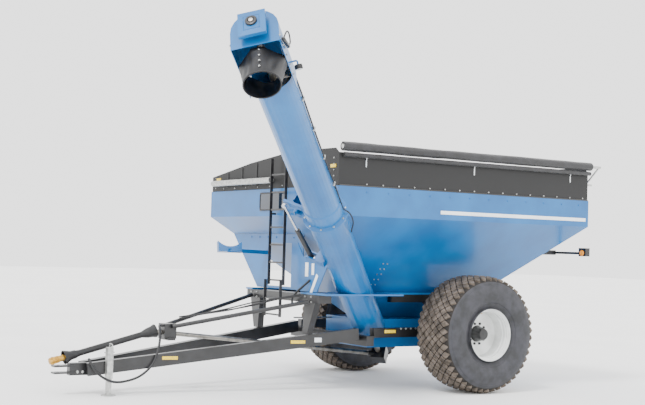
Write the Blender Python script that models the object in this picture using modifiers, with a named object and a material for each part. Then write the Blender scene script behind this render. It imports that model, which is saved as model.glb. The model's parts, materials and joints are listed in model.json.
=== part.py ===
"""Corner-auger grain cart, built as separate named solids.

Metres. X runs forward along the tongue, Y to the left, Z up. Everything is laid out from the point on
the ground below the middle of the axle. At the end the whole cart is moved so that the middle of its
bounding box stands over the origin.
"""
import math

import bmesh
import bpy
from mathutils import Matrix, Vector

# ---------------------------------------------------------------- driving dimensions
GAP = 0.0003            # between neighbouring solids that touch on the real cart
SHEET = 0.005           # hopper sheet
PLATE = 0.012           # brackets and gussets
ROUND = 32              # segments of a round piece
WHEEL_ROUND = 44        # segments of a tyre and its rim

# hopper
HOPPER_HALF_WIDTH = 2.05
HOPPER_FRONT = 2.92
HOPPER_REAR = -2.23
BAND_TOP = 3.20
BAND_BOTTOM = 2.757
SIDE_SLOPE = math.radians(45.3)
END_SLOPE = math.radians(40.9)
SUMP_TOP = 1.12
SUMP_BOTTOM = 0.66
SUMP_FRONT = 1.45
SUMP_LEFT = 0.80
TRAY_CLEARANCE = 0.007     # between the top of the axle and the sump above it
LEDGE_Z = 1.563
BULKHEAD_X = 2.60
WINDOW_Y = (-0.28, 0.54)
WINDOW_Z = (2.845, 3.145)
DOOR_LENGTH = 0.34
DOOR_WIDTH = 0.28
GATE_ROD_Y = -0.30

# sideboards, arched ends and the rolled cover
LEFT_BOARD_TOP = 3.70
RIGHT_BOARD_TOP = 3.46
BOARD_INSET = 0.02
ROLL_RADIUS = 0.085

# wheels and axle
TYRE_RADIUS = 0.945
TYRE_WIDTH = 0.87
WHEEL_Y = 1.78
RIM_RADIUS = 0.434
RIM_WIDTH = 0.80
HUB_RADIUS = 0.16
SPINDLE_RADIUS = 0.07
DISC_X = 0.07           # outer face of the wheel disc, out from the middle of the tyre
HUB_BORE = 0.13
AXLE_BAR = 0.22

# tongue and frame
HITCH_X = 6.00
HITCH_Z = 0.375
TONGUE_REAR_X = 1.75
TONGUE_REAR_Y = 0.95
TONGUE_REAR_Z = 0.895
BEAM_WIDTH = 0.12
BEAM_HEIGHT = 0.19
FRAME_TOP = 1.535
UPPER_RAIL_HEIGHT = 0.13
UPPER_RAIL_Y = 0.85
UPPER_RAIL_WIDTH = 0.11
AXLE_RAIL_Y = 1.05
AXLE_RAIL_WIDTH = 0.12
LEG_X = 2.60

# unloading auger
TUBE_RADIUS = 0.27
TUBE_WALL = 0.006
SLEEVE_RADIUS = 0.285
FLANGE_RADIUS = 0.335
FLANGE_THICK = 0.014
TUBE_OFF_FRONT = 0.270     # auger axis to the front slope
TUBE_OFF_SIDE = 0.215      # auger axis to the left slope
FLANGE_PAST_FOLD = 0.43    # joint flange, measured up the axis from the fold of the hopper
FLIGHT_RADIUS = 0.245
SHAFT_RADIUS = 0.045
FLIGHT_PITCH = 0.48
FLIGHT_THICK = 0.008
UPPER_TUBE_LENGTH = 2.98
HOOD_LENGTH = 0.86
HOOD_HALF_WIDTH = 0.30
HINGE_REACH = 0.42
FOLD_ANGLE = math.radians(141.0)
FOLDED_DIRECTION = Vector((-0.24, -0.935, -0.262)).normalized()
SPOUT_MOUTH_RADIUS = 0.23
SPOUT_REACH = 0.44          # mouth below the spout's pivot
SPOUT_LEAN = 0.12           # mouth ahead of the pivot, up the tube
HEAD_TURN = math.radians(15)   # the discharge head about the tube
SADDLE_SHARE = 2.66         # saddle, measured up the folded tube
CYLINDER_PLANE = 0.25      # fold cylinder, measured along the hinge pin
CRANK_RADIUS = 0.26
CRANK_SWEEP = math.radians(168)  # crank arm from the direction of the cylinder's foot
CYLINDER_FOOT = (-0.99, -0.05)
CYLINDER_RETRACTED = 0.66  # length of the barrel
LOWER_TUBE_START = -3.40
LOWER_SHAFT_START = -4.03
GEARBOX_HALF = 0.105

# driveline
PTO_X = 4.66
PTO_Z = 0.885
PTO_FRONT = Vector((6.34, 0.0, 0.54))
STAND_FOOT = 0.78
STAND_TOP = 1.03
STAND_HALF = 0.115

# rear lamps
LAMP_X = -2.02
LAMP_Z = 2.30

# jack and ladder
JACK_PLACE = (5.73, 0.31)
LADDER_Y = (0.26, 0.68)
LADDER_RUNGS = (1.72, 2.00, 2.28, 2.56, 2.84, 3.12, 3.40)
STEP_RUNGS = (1.18, 1.43)
STEP_HINGE_Z = 1.70
RAIL_DEPTH = 0.05

HANGING = ("hydraulic_hose",)   # left out when the whole is centred

PAINT = {
    "blue": ((0.004, 0.168, 0.565), 0.0, 0.32),
    "black": ((0.012, 0.012, 0.014), 0.0, 0.45),
    "zinc": ((0.55, 0.55, 0.53), 0.9, 0.40),
    "rim": ((0.60, 0.62, 0.62), 0.0, 0.38),
    "rubber": ((0.030, 0.026, 0.022), 0.0, 0.85),
    "steel": ((0.42, 0.41, 0.40), 0.9, 0.35),
    "canvas": ((0.010, 0.010, 0.012), 0.0, 0.80),
    "glass": ((0.01, 0.03, 0.08), 0.0, 0.08),
    "amber": ((0.75, 0.18, 0.01), 0.0, 0.25),
    "gold": ((0.60, 0.33, 0.04), 0.0, 0.50),
}

X = Vector((1, 0, 0))
Y = Vector((0, 1, 0))
Z = Vector((0, 0, 1))


# ---------------------------------------------------------------- scene helpers
def clear_scene():
    for old in list(bpy.data.objects):
        bpy.data.objects.remove(old, do_unlink=True)


def new_collection(name):
    collection = bpy.data.collections.new(name)
    bpy.context.scene.collection.children.link(collection)
    return collection


def paint(obj, colour):
    rgb, metallic, roughness = PAINT[colour]
    material = bpy.data.materials.new(obj.name + "_" + colour)
    material.use_nodes = True
    shader = material.node_tree.nodes["Principled BSDF"]
    shader.inputs["Base Color"].default_value = (*rgb, 1.0)
    shader.inputs["Metallic"].default_value = metallic
    shader.inputs["Roughness"].default_value = roughness
    obj.data.materials.clear()
    obj.data.materials.append(material)


def add(name, mesh, colour=None, frame=None, smooth=False):
    """Link a mesh as a named part, or as a cutter when it has no colour."""
    obj = bpy.data.objects.new(name, mesh)
    if frame is not None:
        obj.matrix_world = frame
    if colour is None:
        obj.hide_render = True
        obj.display_type = "WIRE"
        CUTTERS.objects.link(obj)
    else:
        PARTS.objects.link(obj)
        paint(obj, colour)
    if smooth:
        mesh.shade_smooth()
        mesh.set_sharp_from_angle(angle=math.radians(35))
    return obj


def axes(origin, x_axis, z_hint):
    """A frame at origin with X along x_axis and Z as near as possible to z_hint."""
    ex = Vector(x_axis).normalized()
    ey = Vector(z_hint).cross(ex).normalized()
    ez = ex.cross(ey)
    frame = Matrix((ex, ey, ez)).transposed().to_4x4()
    frame.translation = origin
    return frame


# ---------------------------------------------------------------- shapes
def mesh_from(name, bm):
    bmesh.ops.recalc_face_normals(bm, faces=bm.faces)
    mesh = bpy.data.meshes.new(name)
    bm.to_mesh(mesh)
    bm.free()
    return mesh


def upright(y):
    """Frame whose X is forward and whose Y is up, at a distance to the left."""
    return Matrix(((1, 0, 0, 0), (0, 0, -1, y), (0, 1, 0, 0), (0, 0, 0, 1)))


def box_mesh(name, low, high):
    bm = bmesh.new()
    size = [b - a for a, b in zip(low, high)]
    middle = [(a + b) / 2 for a, b in zip(low, high)]
    bmesh.ops.create_cube(bm, size=1.0, matrix=Matrix.Translation(middle) @ Matrix.Diagonal((*size, 1)))
    return mesh_from(name, bm)


def box(name, low, high, colour=None, frame=None):
    """A box between two corners, given in its frame."""
    return add(name, box_mesh(name, low, high), colour, frame)


def rod(name, start, end, radius, colour=None, end_radius=None, segments=ROUND):
    """A round bar between two points, with its origin at the start."""
    start = Vector(start)
    reach = Vector(end) - start
    bm = bmesh.new()
    lift = Matrix.Translation((0, 0, reach.length / 2))
    bmesh.ops.create_cone(bm, cap_ends=True, segments=segments, radius1=radius,
                          radius2=radius if end_radius is None else end_radius,
                          depth=reach.length, matrix=lift)
    frame = reach.to_track_quat("Z", "Y").to_matrix().to_4x4()
    frame.translation = start
    return add(name, mesh_from(name, bm), colour, frame, smooth=True)


def beam(name, start, end, width, height, colour=None, up=Z):
    """A rectangular bar whose centre line runs between two points."""
    start = Vector(start)
    reach = Vector(end) - start
    frame = axes(start, reach, up)
    low = (0, -width / 2, -height / 2)
    high = (reach.length, width / 2, height / 2)
    return box(name, low, high, colour, frame)


def turned(name, profile, frame, colour=None, segments=ROUND):
    """Turn a closed (along, radius) outline about the X axis of a frame."""
    mesh = bpy.data.meshes.new(name)
    points = [(radius, 0, along) for along, radius in profile]
    loop = [(i, (i + 1) % len(points)) for i in range(len(points))]
    mesh.from_pydata(points, loop, [])
    swing = Matrix.Rotation(math.radians(90), 4, "Y")
    obj = add(name, mesh, colour, frame @ swing)
    screw = obj.modifiers.new("turn", "SCREW")
    screw.axis = "Z"
    screw.steps = segments
    screw.render_steps = segments
    screw.use_merge_vertices = True
    screw.merge_threshold = 0.00001
    screw.use_normal_calculate = True
    screw.use_smooth_shade = True
    return make_mesh(obj)


def make_mesh(obj):
    """Replace a modified or curve object by its evaluated mesh, welded and facing out."""
    bpy.context.view_layer.update()
    graph = bpy.context.evaluated_depsgraph_get()
    mesh = bpy.data.meshes.new_from_object(obj.evaluated_get(graph))
    bm = bmesh.new()
    bm.from_mesh(mesh)
    bmesh.ops.remove_doubles(bm, verts=bm.verts, dist=0.00001)
    bmesh.ops.recalc_face_normals(bm, faces=bm.faces)
    bm.to_mesh(mesh)
    bm.free()
    name, frame = obj.name, obj.matrix_world.copy()
    collection = obj.users_collection[0]
    materials = list(obj.data.materials)
    hidden = obj.hide_render
    bpy.data.objects.remove(obj, do_unlink=True)
    fresh = bpy.data.objects.new(name, mesh)
    fresh.matrix_world = frame
    fresh.hide_render = hidden
    if hidden:
        fresh.display_type = "WIRE"
    collection.objects.link(fresh)
    mesh.materials.clear()
    for material in materials:
        mesh.materials.append(material)
    mesh.shade_smooth()
    mesh.set_sharp_from_angle(angle=math.radians(35))
    return fresh


def outline(name, points, thick, frame, colour=None, holes=()):
    """A flat plate: closed outlines in the frame's XY plane, extruded thick/2 each way."""
    curve = bpy.data.curves.new(name, "CURVE")
    curve.dimensions = "2D"
    curve.fill_mode = "BOTH"
    curve.extrude = thick / 2
    for ring in (points, *holes):
        spline = curve.splines.new("POLY")
        spline.points.add(len(ring) - 1)
        for point, place in zip(spline.points, ring):
            point.co = (place[0], place[1], 0, 1)
        spline.use_cyclic_u = True
    return make_mesh(add(name, curve, colour, frame))


def pipe(name, points, radius, colour, sides=2, smooth_steps=0):
    """A bent tube through points; smooth_steps > 0 rounds the route between them."""
    if smooth_steps:
        points = rounded_route(points, smooth_steps)
    curve = bpy.data.curves.new(name, "CURVE")
    curve.dimensions = "3D"
    curve.bevel_depth = radius
    curve.bevel_resolution = sides
    curve.use_fill_caps = True
    spline = curve.splines.new("POLY")
    spline.points.add(len(points) - 1)
    for point, place in zip(spline.points, points):
        point.co = (*place, 1)
    return make_mesh(add(name, curve, colour, Matrix()))


def rounded_route(points, steps):
    """Points along a smooth curve through the route's own points."""
    knots = [Vector(p) for p in points]
    knots = [2 * knots[0] - knots[1], *knots, 2 * knots[-1] - knots[-2]]
    route = []
    for a, b, c, d in zip(knots, knots[1:], knots[2:], knots[3:]):
        for i in range(steps):
            t = i / steps
            route.append(0.5 * ((2 * b) + (c - a) * t + (2 * a - 5 * b + 4 * c - d) * t ** 2
                                + (3 * b - a - 3 * c + d) * t ** 3))
    route.append(knots[-2])
    return route


def bent_sheet(name, rows, inward, colour):
    """A folded sheet: rows of points joined into strips, thickened to one side."""
    mesh = bpy.data.meshes.new(name)
    wide = len(rows[0])
    points = [tuple(p) for row in rows for p in row]
    faces = []
    for r in range(len(rows) - 1):
        for c in range(wide - 1):
            a = r * wide + c
            faces.append((a, a + 1, a + wide + 1, a + wide))
    mesh.from_pydata(points, [], faces)
    obj = add(name, mesh, colour, Matrix())
    side = mesh.polygons[0].normal.dot(inward)
    thick = obj.modifiers.new("sheet", "SOLIDIFY")
    thick.thickness = SHEET
    thick.offset = 1.0 if side > 0 else -1.0
    thick.use_even_offset = True
    return make_mesh(obj)


def loft(name, rings, colour=None, frame=None, closed_ends=True):
    """A solid through rings of points that all hold the same number of corners."""
    bm = bmesh.new()
    made = [[bm.verts.new(p) for p in ring] for ring in rings]
    count = len(made[0])
    for one, two in zip(made, made[1:]):
        for i in range(count):
            j = (i + 1) % count
            bm.faces.new((one[i], one[j], two[j], two[i]))
    if closed_ends:
        bm.faces.new(made[0])
        bm.faces.new(made[-1])
    else:
        for i in range(count):
            j = (i + 1) % count
            bm.faces.new((made[-1][i], made[-1][j], made[0][j], made[0][i]))
    return add(name, mesh_from(name, bm), colour, frame, smooth=True)


def boolean(obj, others, operation):
    for other in others:
        step = obj.modifiers.new(operation.lower(), "BOOLEAN")
        step.operation = operation
        step.solver = "EXACT"
        step.object = other
    result = make_mesh(obj)
    for other in others:
        bpy.data.objects.remove(other, do_unlink=True)
    return result


def pivot(name, place):
    """Move a part's origin onto its joint and leave its shape where it is."""
    obj = PARTS.objects[name]
    bpy.context.view_layer.update()
    shift = obj.matrix_world.inverted() @ Vector(place)
    obj.data.transform(Matrix.Translation(-shift))
    obj.matrix_world = obj.matrix_world @ Matrix.Translation(shift)


def joined(obj, *others):
    return boolean(obj, others, "UNION")


def cut(obj, *others):
    return boolean(obj, others, "DIFFERENCE")


# ---------------------------------------------------------------- hopper
def half_width(z):
    return HOPPER_HALF_WIDTH - max(0.0, BAND_BOTTOM - z) / math.tan(SIDE_SLOPE)


def front_x(z):
    return HOPPER_FRONT - max(0.0, BAND_BOTTOM - z) / math.tan(END_SLOPE)


def rear_x(z):
    return HOPPER_REAR + max(0.0, BAND_BOTTOM - z) / math.tan(END_SLOPE)


def make_hopper():
    levels = (BAND_TOP, BAND_BOTTOM, SUMP_TOP)
    for side, sign in (("left", 1), ("right", -1)):
        rows = [[(rear_x(z), sign * half_width(z), z), (front_x(z), sign * half_width(z), z)]
                for z in levels]
        bent_sheet(side + "_side_panel", rows, Vector((0, -sign, 0)), "blue")
    inset = (SHEET + GAP) / math.sin(SIDE_SLOPE)
    for end, place, inward in (("front", front_x, -X), ("rear", rear_x, X)):
        rows = [[(place(z), -half_width(z) + inset, z), (place(z), half_width(z) - inset, z)]
                for z in levels]
        panel = bent_sheet(end + "_panel", rows, inward, "blue")
        if end == "front":
            low = (HOPPER_FRONT - 0.1, WINDOW_Y[0] + 0.03, WINDOW_Z[0] + 0.03)
            high = (HOPPER_FRONT + 0.1, WINDOW_Y[1] - 0.03, WINDOW_Z[1] - 0.03)
            cut(panel, box("window_cutter", low, high))


def make_window():
    face = HOPPER_FRONT + GAP
    box("sight_window", (face, WINDOW_Y[0], WINDOW_Z[0]), (face + 0.014, WINDOW_Y[1], WINDOW_Z[1]), "glass")


def make_sump():
    """The box under the hopper that feeds the auger, with a shallow tray over the axle."""
    floor = TYRE_RADIUS + AXLE_BAR / 2 + TRAY_CLEARANCE
    side = -half_width(SUMP_TOP) - 0.02
    top = SUMP_TOP - GAP
    low = Vector((AXLE_BAR / 2 + 0.04, side, SUMP_BOTTOM))
    high = Vector((SUMP_FRONT, SUMP_LEFT, top))
    tray_low = Vector((rear_x(SUMP_TOP) - 0.02, side, floor))
    tray_high = Vector((low.x + 0.05, -side, top))
    wall = Vector((SHEET, SHEET, SHEET))
    sump = joined(box("sump", low, high, "blue"), box("tray", tray_low, tray_high))
    inside = box("sump_inside", low + wall, high - wall)
    tray_inside = box("tray_inside", tray_low + wall, tray_high - wall + Vector((0.02, 0, 0)))
    mouth = box("sump_mouth", (rear_x(SUMP_TOP) + 0.02, side + 0.04, SUMP_TOP - 0.03),
                (front_x(SUMP_TOP) - 0.02, -side - 0.04, SUMP_TOP + 0.1))
    tube_hole = rod("sump_tube_hole", auger_point(LOWER_TUBE_START - 0.15), auger_point(-1.5),
                    TUBE_RADIUS + 0.004)
    shaft_hole = rod("sump_shaft_hole", auger_point(LOWER_SHAFT_START - 0.3),
                     auger_point(LOWER_SHAFT_START + 0.5), SHAFT_RADIUS + 0.02)
    x0, y0 = low.x + 0.03, side + 0.05
    door_hole = box("door_hole", (x0 + 0.02, y0 + 0.02, SUMP_BOTTOM - 0.1),
                    (x0 + DOOR_LENGTH - 0.02, y0 + DOOR_WIDTH - 0.02, SUMP_BOTTOM + 0.1))
    gate_z = floor + SHEET + 0.016
    gate_rod = Vector((SUMP_FRONT, GATE_ROD_Y, gate_z))
    rod_hole = rod("gate_rod_hole", gate_rod - 0.1 * X, gate_rod + 0.1 * X, 0.015)
    cut(sump, inside, tray_inside, mouth, tube_hole, shaft_hole, door_hole, rod_hole)
    hinge = Matrix.Translation((x0, y0, SUMP_BOTTOM - GAP))
    box("cleanout_door", (0, 0, -0.008), (DOOR_LENGTH, DOOR_WIDTH, 0), "blue", hinge)
    make_gate(low.x, gate_z, -side - 0.03)


def make_gate(x, z, half):
    """Flow gate: a flat slide over the auger, pulled back into the tray by a rod from the front."""
    frame = Matrix.Translation((x, 0, z))
    gate = box("flow_gate", (0.012, -half, -0.004), (front_x(SUMP_TOP) - x - 0.04, half, 0.004), "steel",
               frame)
    pull = rod("gate_rod", (front_x(SUMP_TOP) - 0.10, GATE_ROD_Y, z), (SUMP_FRONT + 0.75, GATE_ROD_Y, z), 0.012,
               segments=16)
    joined(gate, pull)


def make_bulkhead():
    """The upright plate below the front slope, with an opening to see and reach through."""
    top = BAND_BOTTOM - (HOPPER_FRONT - BULKHEAD_X) * math.tan(END_SLOPE) - 0.012
    low = LEDGE_Z + PLATE
    edge_top = -half_width(top) + 0.02
    edge_low = -half_width(low) + 0.02
    plate_frame = Matrix.Translation((BULKHEAD_X, 0, 0)) @ axes((0, 0, 0), Y, X)
    points = [(edge_top, top), (0.60, top), (0.60, low), (edge_low, low)]
    window = [(-0.50, low + 0.04), (0.24, low + 0.04), (0.24, 2.33), (-0.50, 2.33)]
    outline("front_bulkhead", points, 0.010, plate_frame, "blue", holes=(window,))
    gusset_frame = Matrix.Translation((BULKHEAD_X + 0.12, 0, 0)) @ axes((0, 0, 0), Y, X)
    points = [(0.62, low), (0.62, 2.34), (0.80, 2.12), (1.60, 2.12), (1.22, low)]
    gusset = outline("auger_gusset", points, PLATE, gusset_frame, "blue")
    cut(gusset, rod("gusset_tube_cut", auger_point(-1.6), auger_point(0.2), TUBE_RADIUS + 0.001))


def make_ledges():
    """Sills that the hopper sits on; the left one is wider in front, around the auger tube."""
    low, high = FRAME_TOP + GAP, LEDGE_Z
    sill_out = half_width(LEDGE_Z) + 0.10
    sill_in = UPPER_RAIL_Y - 0.05
    middle = (low + high) / 2
    frame = Matrix.Translation((0, 0, middle))
    rear = rear_x(LEDGE_Z)
    front = BULKHEAD_X + 0.16
    under = half_width(LEDGE_Z) - 0.012 - SHEET
    for side, sign in (("left", 1), ("right", -1)):
        points = [(rear, sign * (under - 0.10)), (rear, sign * sill_out), (front, sign * sill_out),
                  (front, sign * (under - 0.10))]
        if side == "left":
            points[2:4] = [(1.30, sill_out), (1.30, 1.56), (front, 1.56), (front, sill_in)]
            points.append((1.75, sill_in))
            points.append((1.20, under - 0.10))
        sill = outline(side + "_sill", points, high - low, frame, "blue")
        trims = []
        if side == "left":
            trims.append(rod("sill_tube_cut", auger_point(-3), auger_point(-1), TUBE_RADIUS + 0.003))
        trims.append(hopper_cutter("sill_hopper_cut"))
        cut(sill, *trims)


def hopper_cutter(name):
    """The outside of the lower hopper, a hair larger, to trim what meets it."""
    grow = 0.0006
    rings = []
    for z in (BAND_BOTTOM - 0.2, SUMP_TOP - 0.3):
        x0, x1 = rear_x(z) - grow, front_x(z) + grow
        y = half_width(z) + grow
        rings.append([(x0, -y, z), (x1, -y, z), (x1, y, z), (x0, y, z)])
    return loft(name, rings)


def make_boards():
    """Black extensions above the band, with arched end caps and the rolled cover."""
    half = HOPPER_HALF_WIDTH - BOARD_INSET
    foot = BAND_TOP + GAP
    x0, x1 = HOPPER_REAR + 0.01, HOPPER_FRONT - 0.01
    box("left_sideboard", (x0, half - 0.006, foot), (x1, half, LEFT_BOARD_TOP), "black")
    box("right_sideboard", (x0, -half, foot), (x1, -half + 0.006, RIGHT_BOARD_TOP), "black")
    inner = half - 0.006 - GAP
    left = LEFT_BOARD_TOP
    arch = [(-inner, foot), (inner, foot), (inner, left), (inner - 0.09, left + 0.07), (1.0, left + 0.08),
            (0.34, left + 0.05), (-0.68, left - 0.05), (-inner, RIGHT_BOARD_TOP)]
    for name, x in (("front_end_cap", x1 - 0.004), ("rear_end_cap", x0 + 0.004)):
        frame = Matrix.Translation((x, 0, 0)) @ axes((0, 0, 0), Y, X)
        outline(name, arch, 0.006, frame, "black")
    height = LEFT_BOARD_TOP + ROLL_RADIUS + 0.003
    start = Vector((HOPPER_FRONT - 0.04, half + 0.03, height))
    end = Vector((HOPPER_REAR - 0.03, half + 0.03, height))
    rod("tarp_roll", end, start, ROLL_RADIUS, "canvas", segments=24)
    end -= GAP * X
    crank = rod("tarp_crank", end, end - 0.22 * X, 0.022, "zinc", segments=12)
    elbow = end + Vector((-0.20, 0, 0.01))
    hand = elbow + Vector((0.02, -0.30, -0.30))
    arm = rod("crank_arm", elbow, hand, 0.016, segments=12)
    grip = rod("crank_grip", hand + 0.02 * X, hand - 0.14 * X, 0.018, segments=12)
    joined(crank, arm, grip)
    rail_x = HOPPER_FRONT + 0.075
    rod("front_rail", (rail_x, -half + 0.18, 3.335), (rail_x, 0.18, 3.335), 0.05, "zinc", segments=20)


# ---------------------------------------------------------------- frame
def tongue_centre(x, sign):
    """Centre line of a tongue beam, which spreads and rises towards the rear."""
    share = (HITCH_X - x) / (HITCH_X - TONGUE_REAR_X)
    y0 = BEAM_WIDTH / 2 + 0.064
    return Vector((x, sign * (y0 + share * (TONGUE_REAR_Y - y0)),
                   HITCH_Z + share * (TONGUE_REAR_Z - HITCH_Z)))


def make_frame():
    for side, sign in (("left", 1), ("right", -1)):
        beam("tongue_" + side + "_beam", tongue_centre(HITCH_X, sign), tongue_centre(TONGUE_REAR_X, sign),
             BEAM_WIDTH, BEAM_HEIGHT, "black")
        top = tongue_centre(LEG_X - 0.06, sign).z + BEAM_HEIGHT / 2 / math.cos(0.125) + 0.002
        foot_y = abs(tongue_centre(LEG_X, sign).y)
        lean = 0.12 if side == "left" else 0.03
        frame = Matrix.Translation((LEG_X, 0, 0)) @ axes((0, 0, 0), Y, X)
        rail_foot = FRAME_TOP - UPPER_RAIL_HEIGHT - GAP
        leg = [(sign * (foot_y - 0.07), top), (sign * (foot_y + 0.07), top),
               (sign * (foot_y + 0.17 + lean), rail_foot), (sign * (foot_y - 0.15 + lean), rail_foot)]
        outline(side + "_front_leg", leg, 0.11, frame, "black")
    make_hitch()
    axle_top = TYRE_RADIUS + AXLE_BAR / 2
    cross_front = TONGUE_REAR_X - 0.03
    cross_rear = cross_front - 0.14
    cross_top = TONGUE_REAR_Z - 0.02
    out = AXLE_RAIL_Y + AXLE_RAIL_WIDTH
    box("lower_crossmember", (cross_rear, -out, cross_top - 0.16), (cross_front, out, cross_top), "black")
    rail_foot = FRAME_TOP - UPPER_RAIL_HEIGHT
    for side, sign in (("left", 1), ("right", -1)):
        y = sorted((sign * AXLE_RAIL_Y, sign * out))
        box(side + "_axle_rail", (AXLE_BAR / 2 + GAP, y[0], TYRE_RADIUS - 0.095),
            (cross_rear - GAP, y[1], TYRE_RADIUS + 0.055), "black")
        front = BULKHEAD_X - 0.10 if side == "right" else 1.10
        y = sorted((sign * UPPER_RAIL_Y, sign * (UPPER_RAIL_Y + UPPER_RAIL_WIDTH)))
        rail = box(side + "_upper_rail", (-0.95, y[0], rail_foot), (front, y[1], FRAME_TOP), "black")
        post = [(-AXLE_BAR / 2, axle_top + GAP), (AXLE_BAR / 2, axle_top + GAP), (0.42, rail_foot + 0.03),
                (-0.42, rail_foot + 0.03)]
        joined(rail, outline("post", [(x, z) for x, z in post], UPPER_RAIL_WIDTH - 0.02, upright(sum(y) / 2)))
    box("upper_crossmember", (BULKHEAD_X - 0.10 + GAP, -UPPER_RAIL_Y - UPPER_RAIL_WIDTH, rail_foot),
        (BULKHEAD_X + 0.14, 1.30, FRAME_TOP), "black")
    make_axle(axle_top)
    make_braces()


def make_hitch():
    nose = HITCH_X + 0.24
    hitch = box("hitch", (HITCH_X - 0.30, -0.058, HITCH_Z - 0.09), (nose, 0.058, HITCH_Z + 0.09), "black")
    plates = [box("hitch_plate", (nose - 0.08, -0.075, HITCH_Z + z - 0.012),
                  (nose + 0.24, 0.075, HITCH_Z + z + 0.012)) for z in (-0.05, 0.05)]
    hitch = joined(hitch, *plates)
    pin_x = nose + 0.16
    cut(hitch, rod("hitch_pin_hole", (pin_x, 0, 0), (pin_x, 0, 1), 0.026))


def make_axle(axle_top):
    centre = TYRE_RADIUS
    half = AXLE_BAR / 2
    bar_end = WHEEL_Y - TYRE_WIDTH / 2 - 0.04
    axle = box("axle", (-half, -bar_end, centre - half), (half, bar_end, axle_top), "black")
    spindles = [rod("spindle", (0, sign * (bar_end - 0.2), centre), (0, sign * (WHEEL_Y + 0.20), centre),
                    SPINDLE_RADIUS) for sign in (1, -1)]
    joined(axle, *spindles)


def make_braces():
    """Diagonals from the driveline stand to the tops of the front legs."""
    for side, sign, foot in (("left", 1, (2.76, 1.05, 1.42)), ("right", -1, (2.76, -0.76, 1.44))):
        start = Vector((PTO_X - 0.02, sign * (STAND_HALF + 0.036), STAND_TOP - 0.04))
        rod(side + "_brace", start, foot, 0.032, "black", segments=16)


# ---------------------------------------------------------------- wheels
def make_wheels():
    for side, sign in (("left", 1), ("right", -1)):
        frame = axes((0, sign * WHEEL_Y, TYRE_RADIUS), sign * Y, Z)
        half = TYRE_WIDTH / 2
        lip = RIM_WIDTH / 2
        tread = half - 0.10
        bead = RIM_RADIUS - 0.028
        tyre = [(-lip + 0.032, bead + GAP), (-lip + 0.032, RIM_RADIUS + 0.006),
                (-half + 0.01, RIM_RADIUS + 0.11), (-half, RIM_RADIUS + 0.22),
                (-half + 0.035, TYRE_RADIUS - 0.14), (-tread, TYRE_RADIUS - 0.03),
                (-tread * 0.55, TYRE_RADIUS - 0.004), (0, TYRE_RADIUS)]
        tyre += [(-along, radius) for along, radius in reversed(tyre[:-1])]
        tyre += [(lip - 0.08, bead + GAP), (-lip + 0.08, bead + GAP)]
        turned(side + "_tyre", tyre, frame, "rubber", segments=WHEEL_ROUND)
        well = bead - 0.012
        back = DISC_X - 0.036
        rim = [(-lip + 0.016, RIM_RADIUS), (-lip + 0.028, RIM_RADIUS), (-lip + 0.029, bead),
               (lip - 0.029, bead), (lip - 0.028, RIM_RADIUS), (lip - 0.016, RIM_RADIUS),
               (lip - 0.018, well), (0.10, well - 0.01), (DISC_X, well - 0.05),
               (DISC_X - 0.02, 0.24), (DISC_X - 0.02, HUB_BORE), (back, HUB_BORE), (back, 0.245),
               (DISC_X - 0.02, well - 0.035), (DISC_X - 0.03, well - 0.012), (-lip + 0.018, well)]
        turned(side + "_rim", rim, frame, "rim", segments=WHEEL_ROUND)
        bore = SPINDLE_RADIUS + 0.001
        seat = back - GAP
        flange = HUB_RADIUS + 0.04
        hub = [(-0.13, bore), (-0.13, 0.115), (seat - 0.016, 0.125), (seat - 0.016, flange), (seat, flange),
               (seat, HUB_BORE - 0.001), (DISC_X + 0.10, 0.105), (DISC_X + 0.155, 0.085),
               (DISC_X + 0.165, 0.0), (DISC_X + 0.150, 0.0), (DISC_X + 0.145, bore)]
        turned(side + "_hub", hub, frame, "black", segments=28)


# ---------------------------------------------------------------- auger
def corner_direction():
    """Direction of the hopper's front left corner, where the front and side slopes meet."""
    front = Vector((math.sin(END_SLOPE), 0, -math.cos(END_SLOPE)))
    side = Vector((0, math.sin(SIDE_SLOPE), -math.cos(SIDE_SLOPE)))
    along = front.cross(side).normalized()
    return along if along.z > 0 else -along


def auger_origin():
    """Centre of the joint flange: beside the corner, outside both slopes."""
    front = Vector((math.sin(END_SLOPE), 0, -math.cos(END_SLOPE)))
    side = Vector((0, math.sin(SIDE_SLOPE), -math.cos(SIDE_SLOPE)))
    both = front.dot(side)
    a = (TUBE_OFF_FRONT - both * TUBE_OFF_SIDE) / (1 - both ** 2)
    b = (TUBE_OFF_SIDE - both * TUBE_OFF_FRONT) / (1 - both ** 2)
    corner = Vector((HOPPER_FRONT, HOPPER_HALF_WIDTH, BAND_BOTTOM))
    return corner + a * front + b * side + FLANGE_PAST_FOLD * corner_direction()


ALONG = corner_direction()
FLANGE = auger_origin()
AUGER = axes(FLANGE, ALONG, Z)                        # X up the tube, Z away from the spout
HEAD = AUGER @ Matrix.Rotation(HEAD_TURN, 4, "X")     # the discharge head, turned about the tube
FOLD_SIDE = (FOLDED_DIRECTION - FOLDED_DIRECTION.dot(ALONG) * ALONG).normalized()
HINGE_LINE = ALONG.cross(FOLD_SIDE)
HINGE = FLANGE + HINGE_REACH * FOLD_SIDE
HINGE_FRAME = Matrix((ALONG, FOLD_SIDE, HINGE_LINE)).transposed().to_4x4()
HINGE_FRAME.translation = HINGE                       # X up the tube, Y away from it, Z along the pin
CRANK_START = math.atan2(CYLINDER_FOOT[1], CYLINDER_FOOT[0]) + 2 * math.pi - CRANK_SWEEP
CRANK_ALONG = CRANK_RADIUS * math.cos(CRANK_START)
CRANK_OUT = CRANK_RADIUS * math.sin(CRANK_START)


def auger_point(along):
    return FLANGE + along * ALONG


def hinge_point(along, out, pin):
    return HINGE_FRAME @ Vector((along, out, pin))


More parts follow.
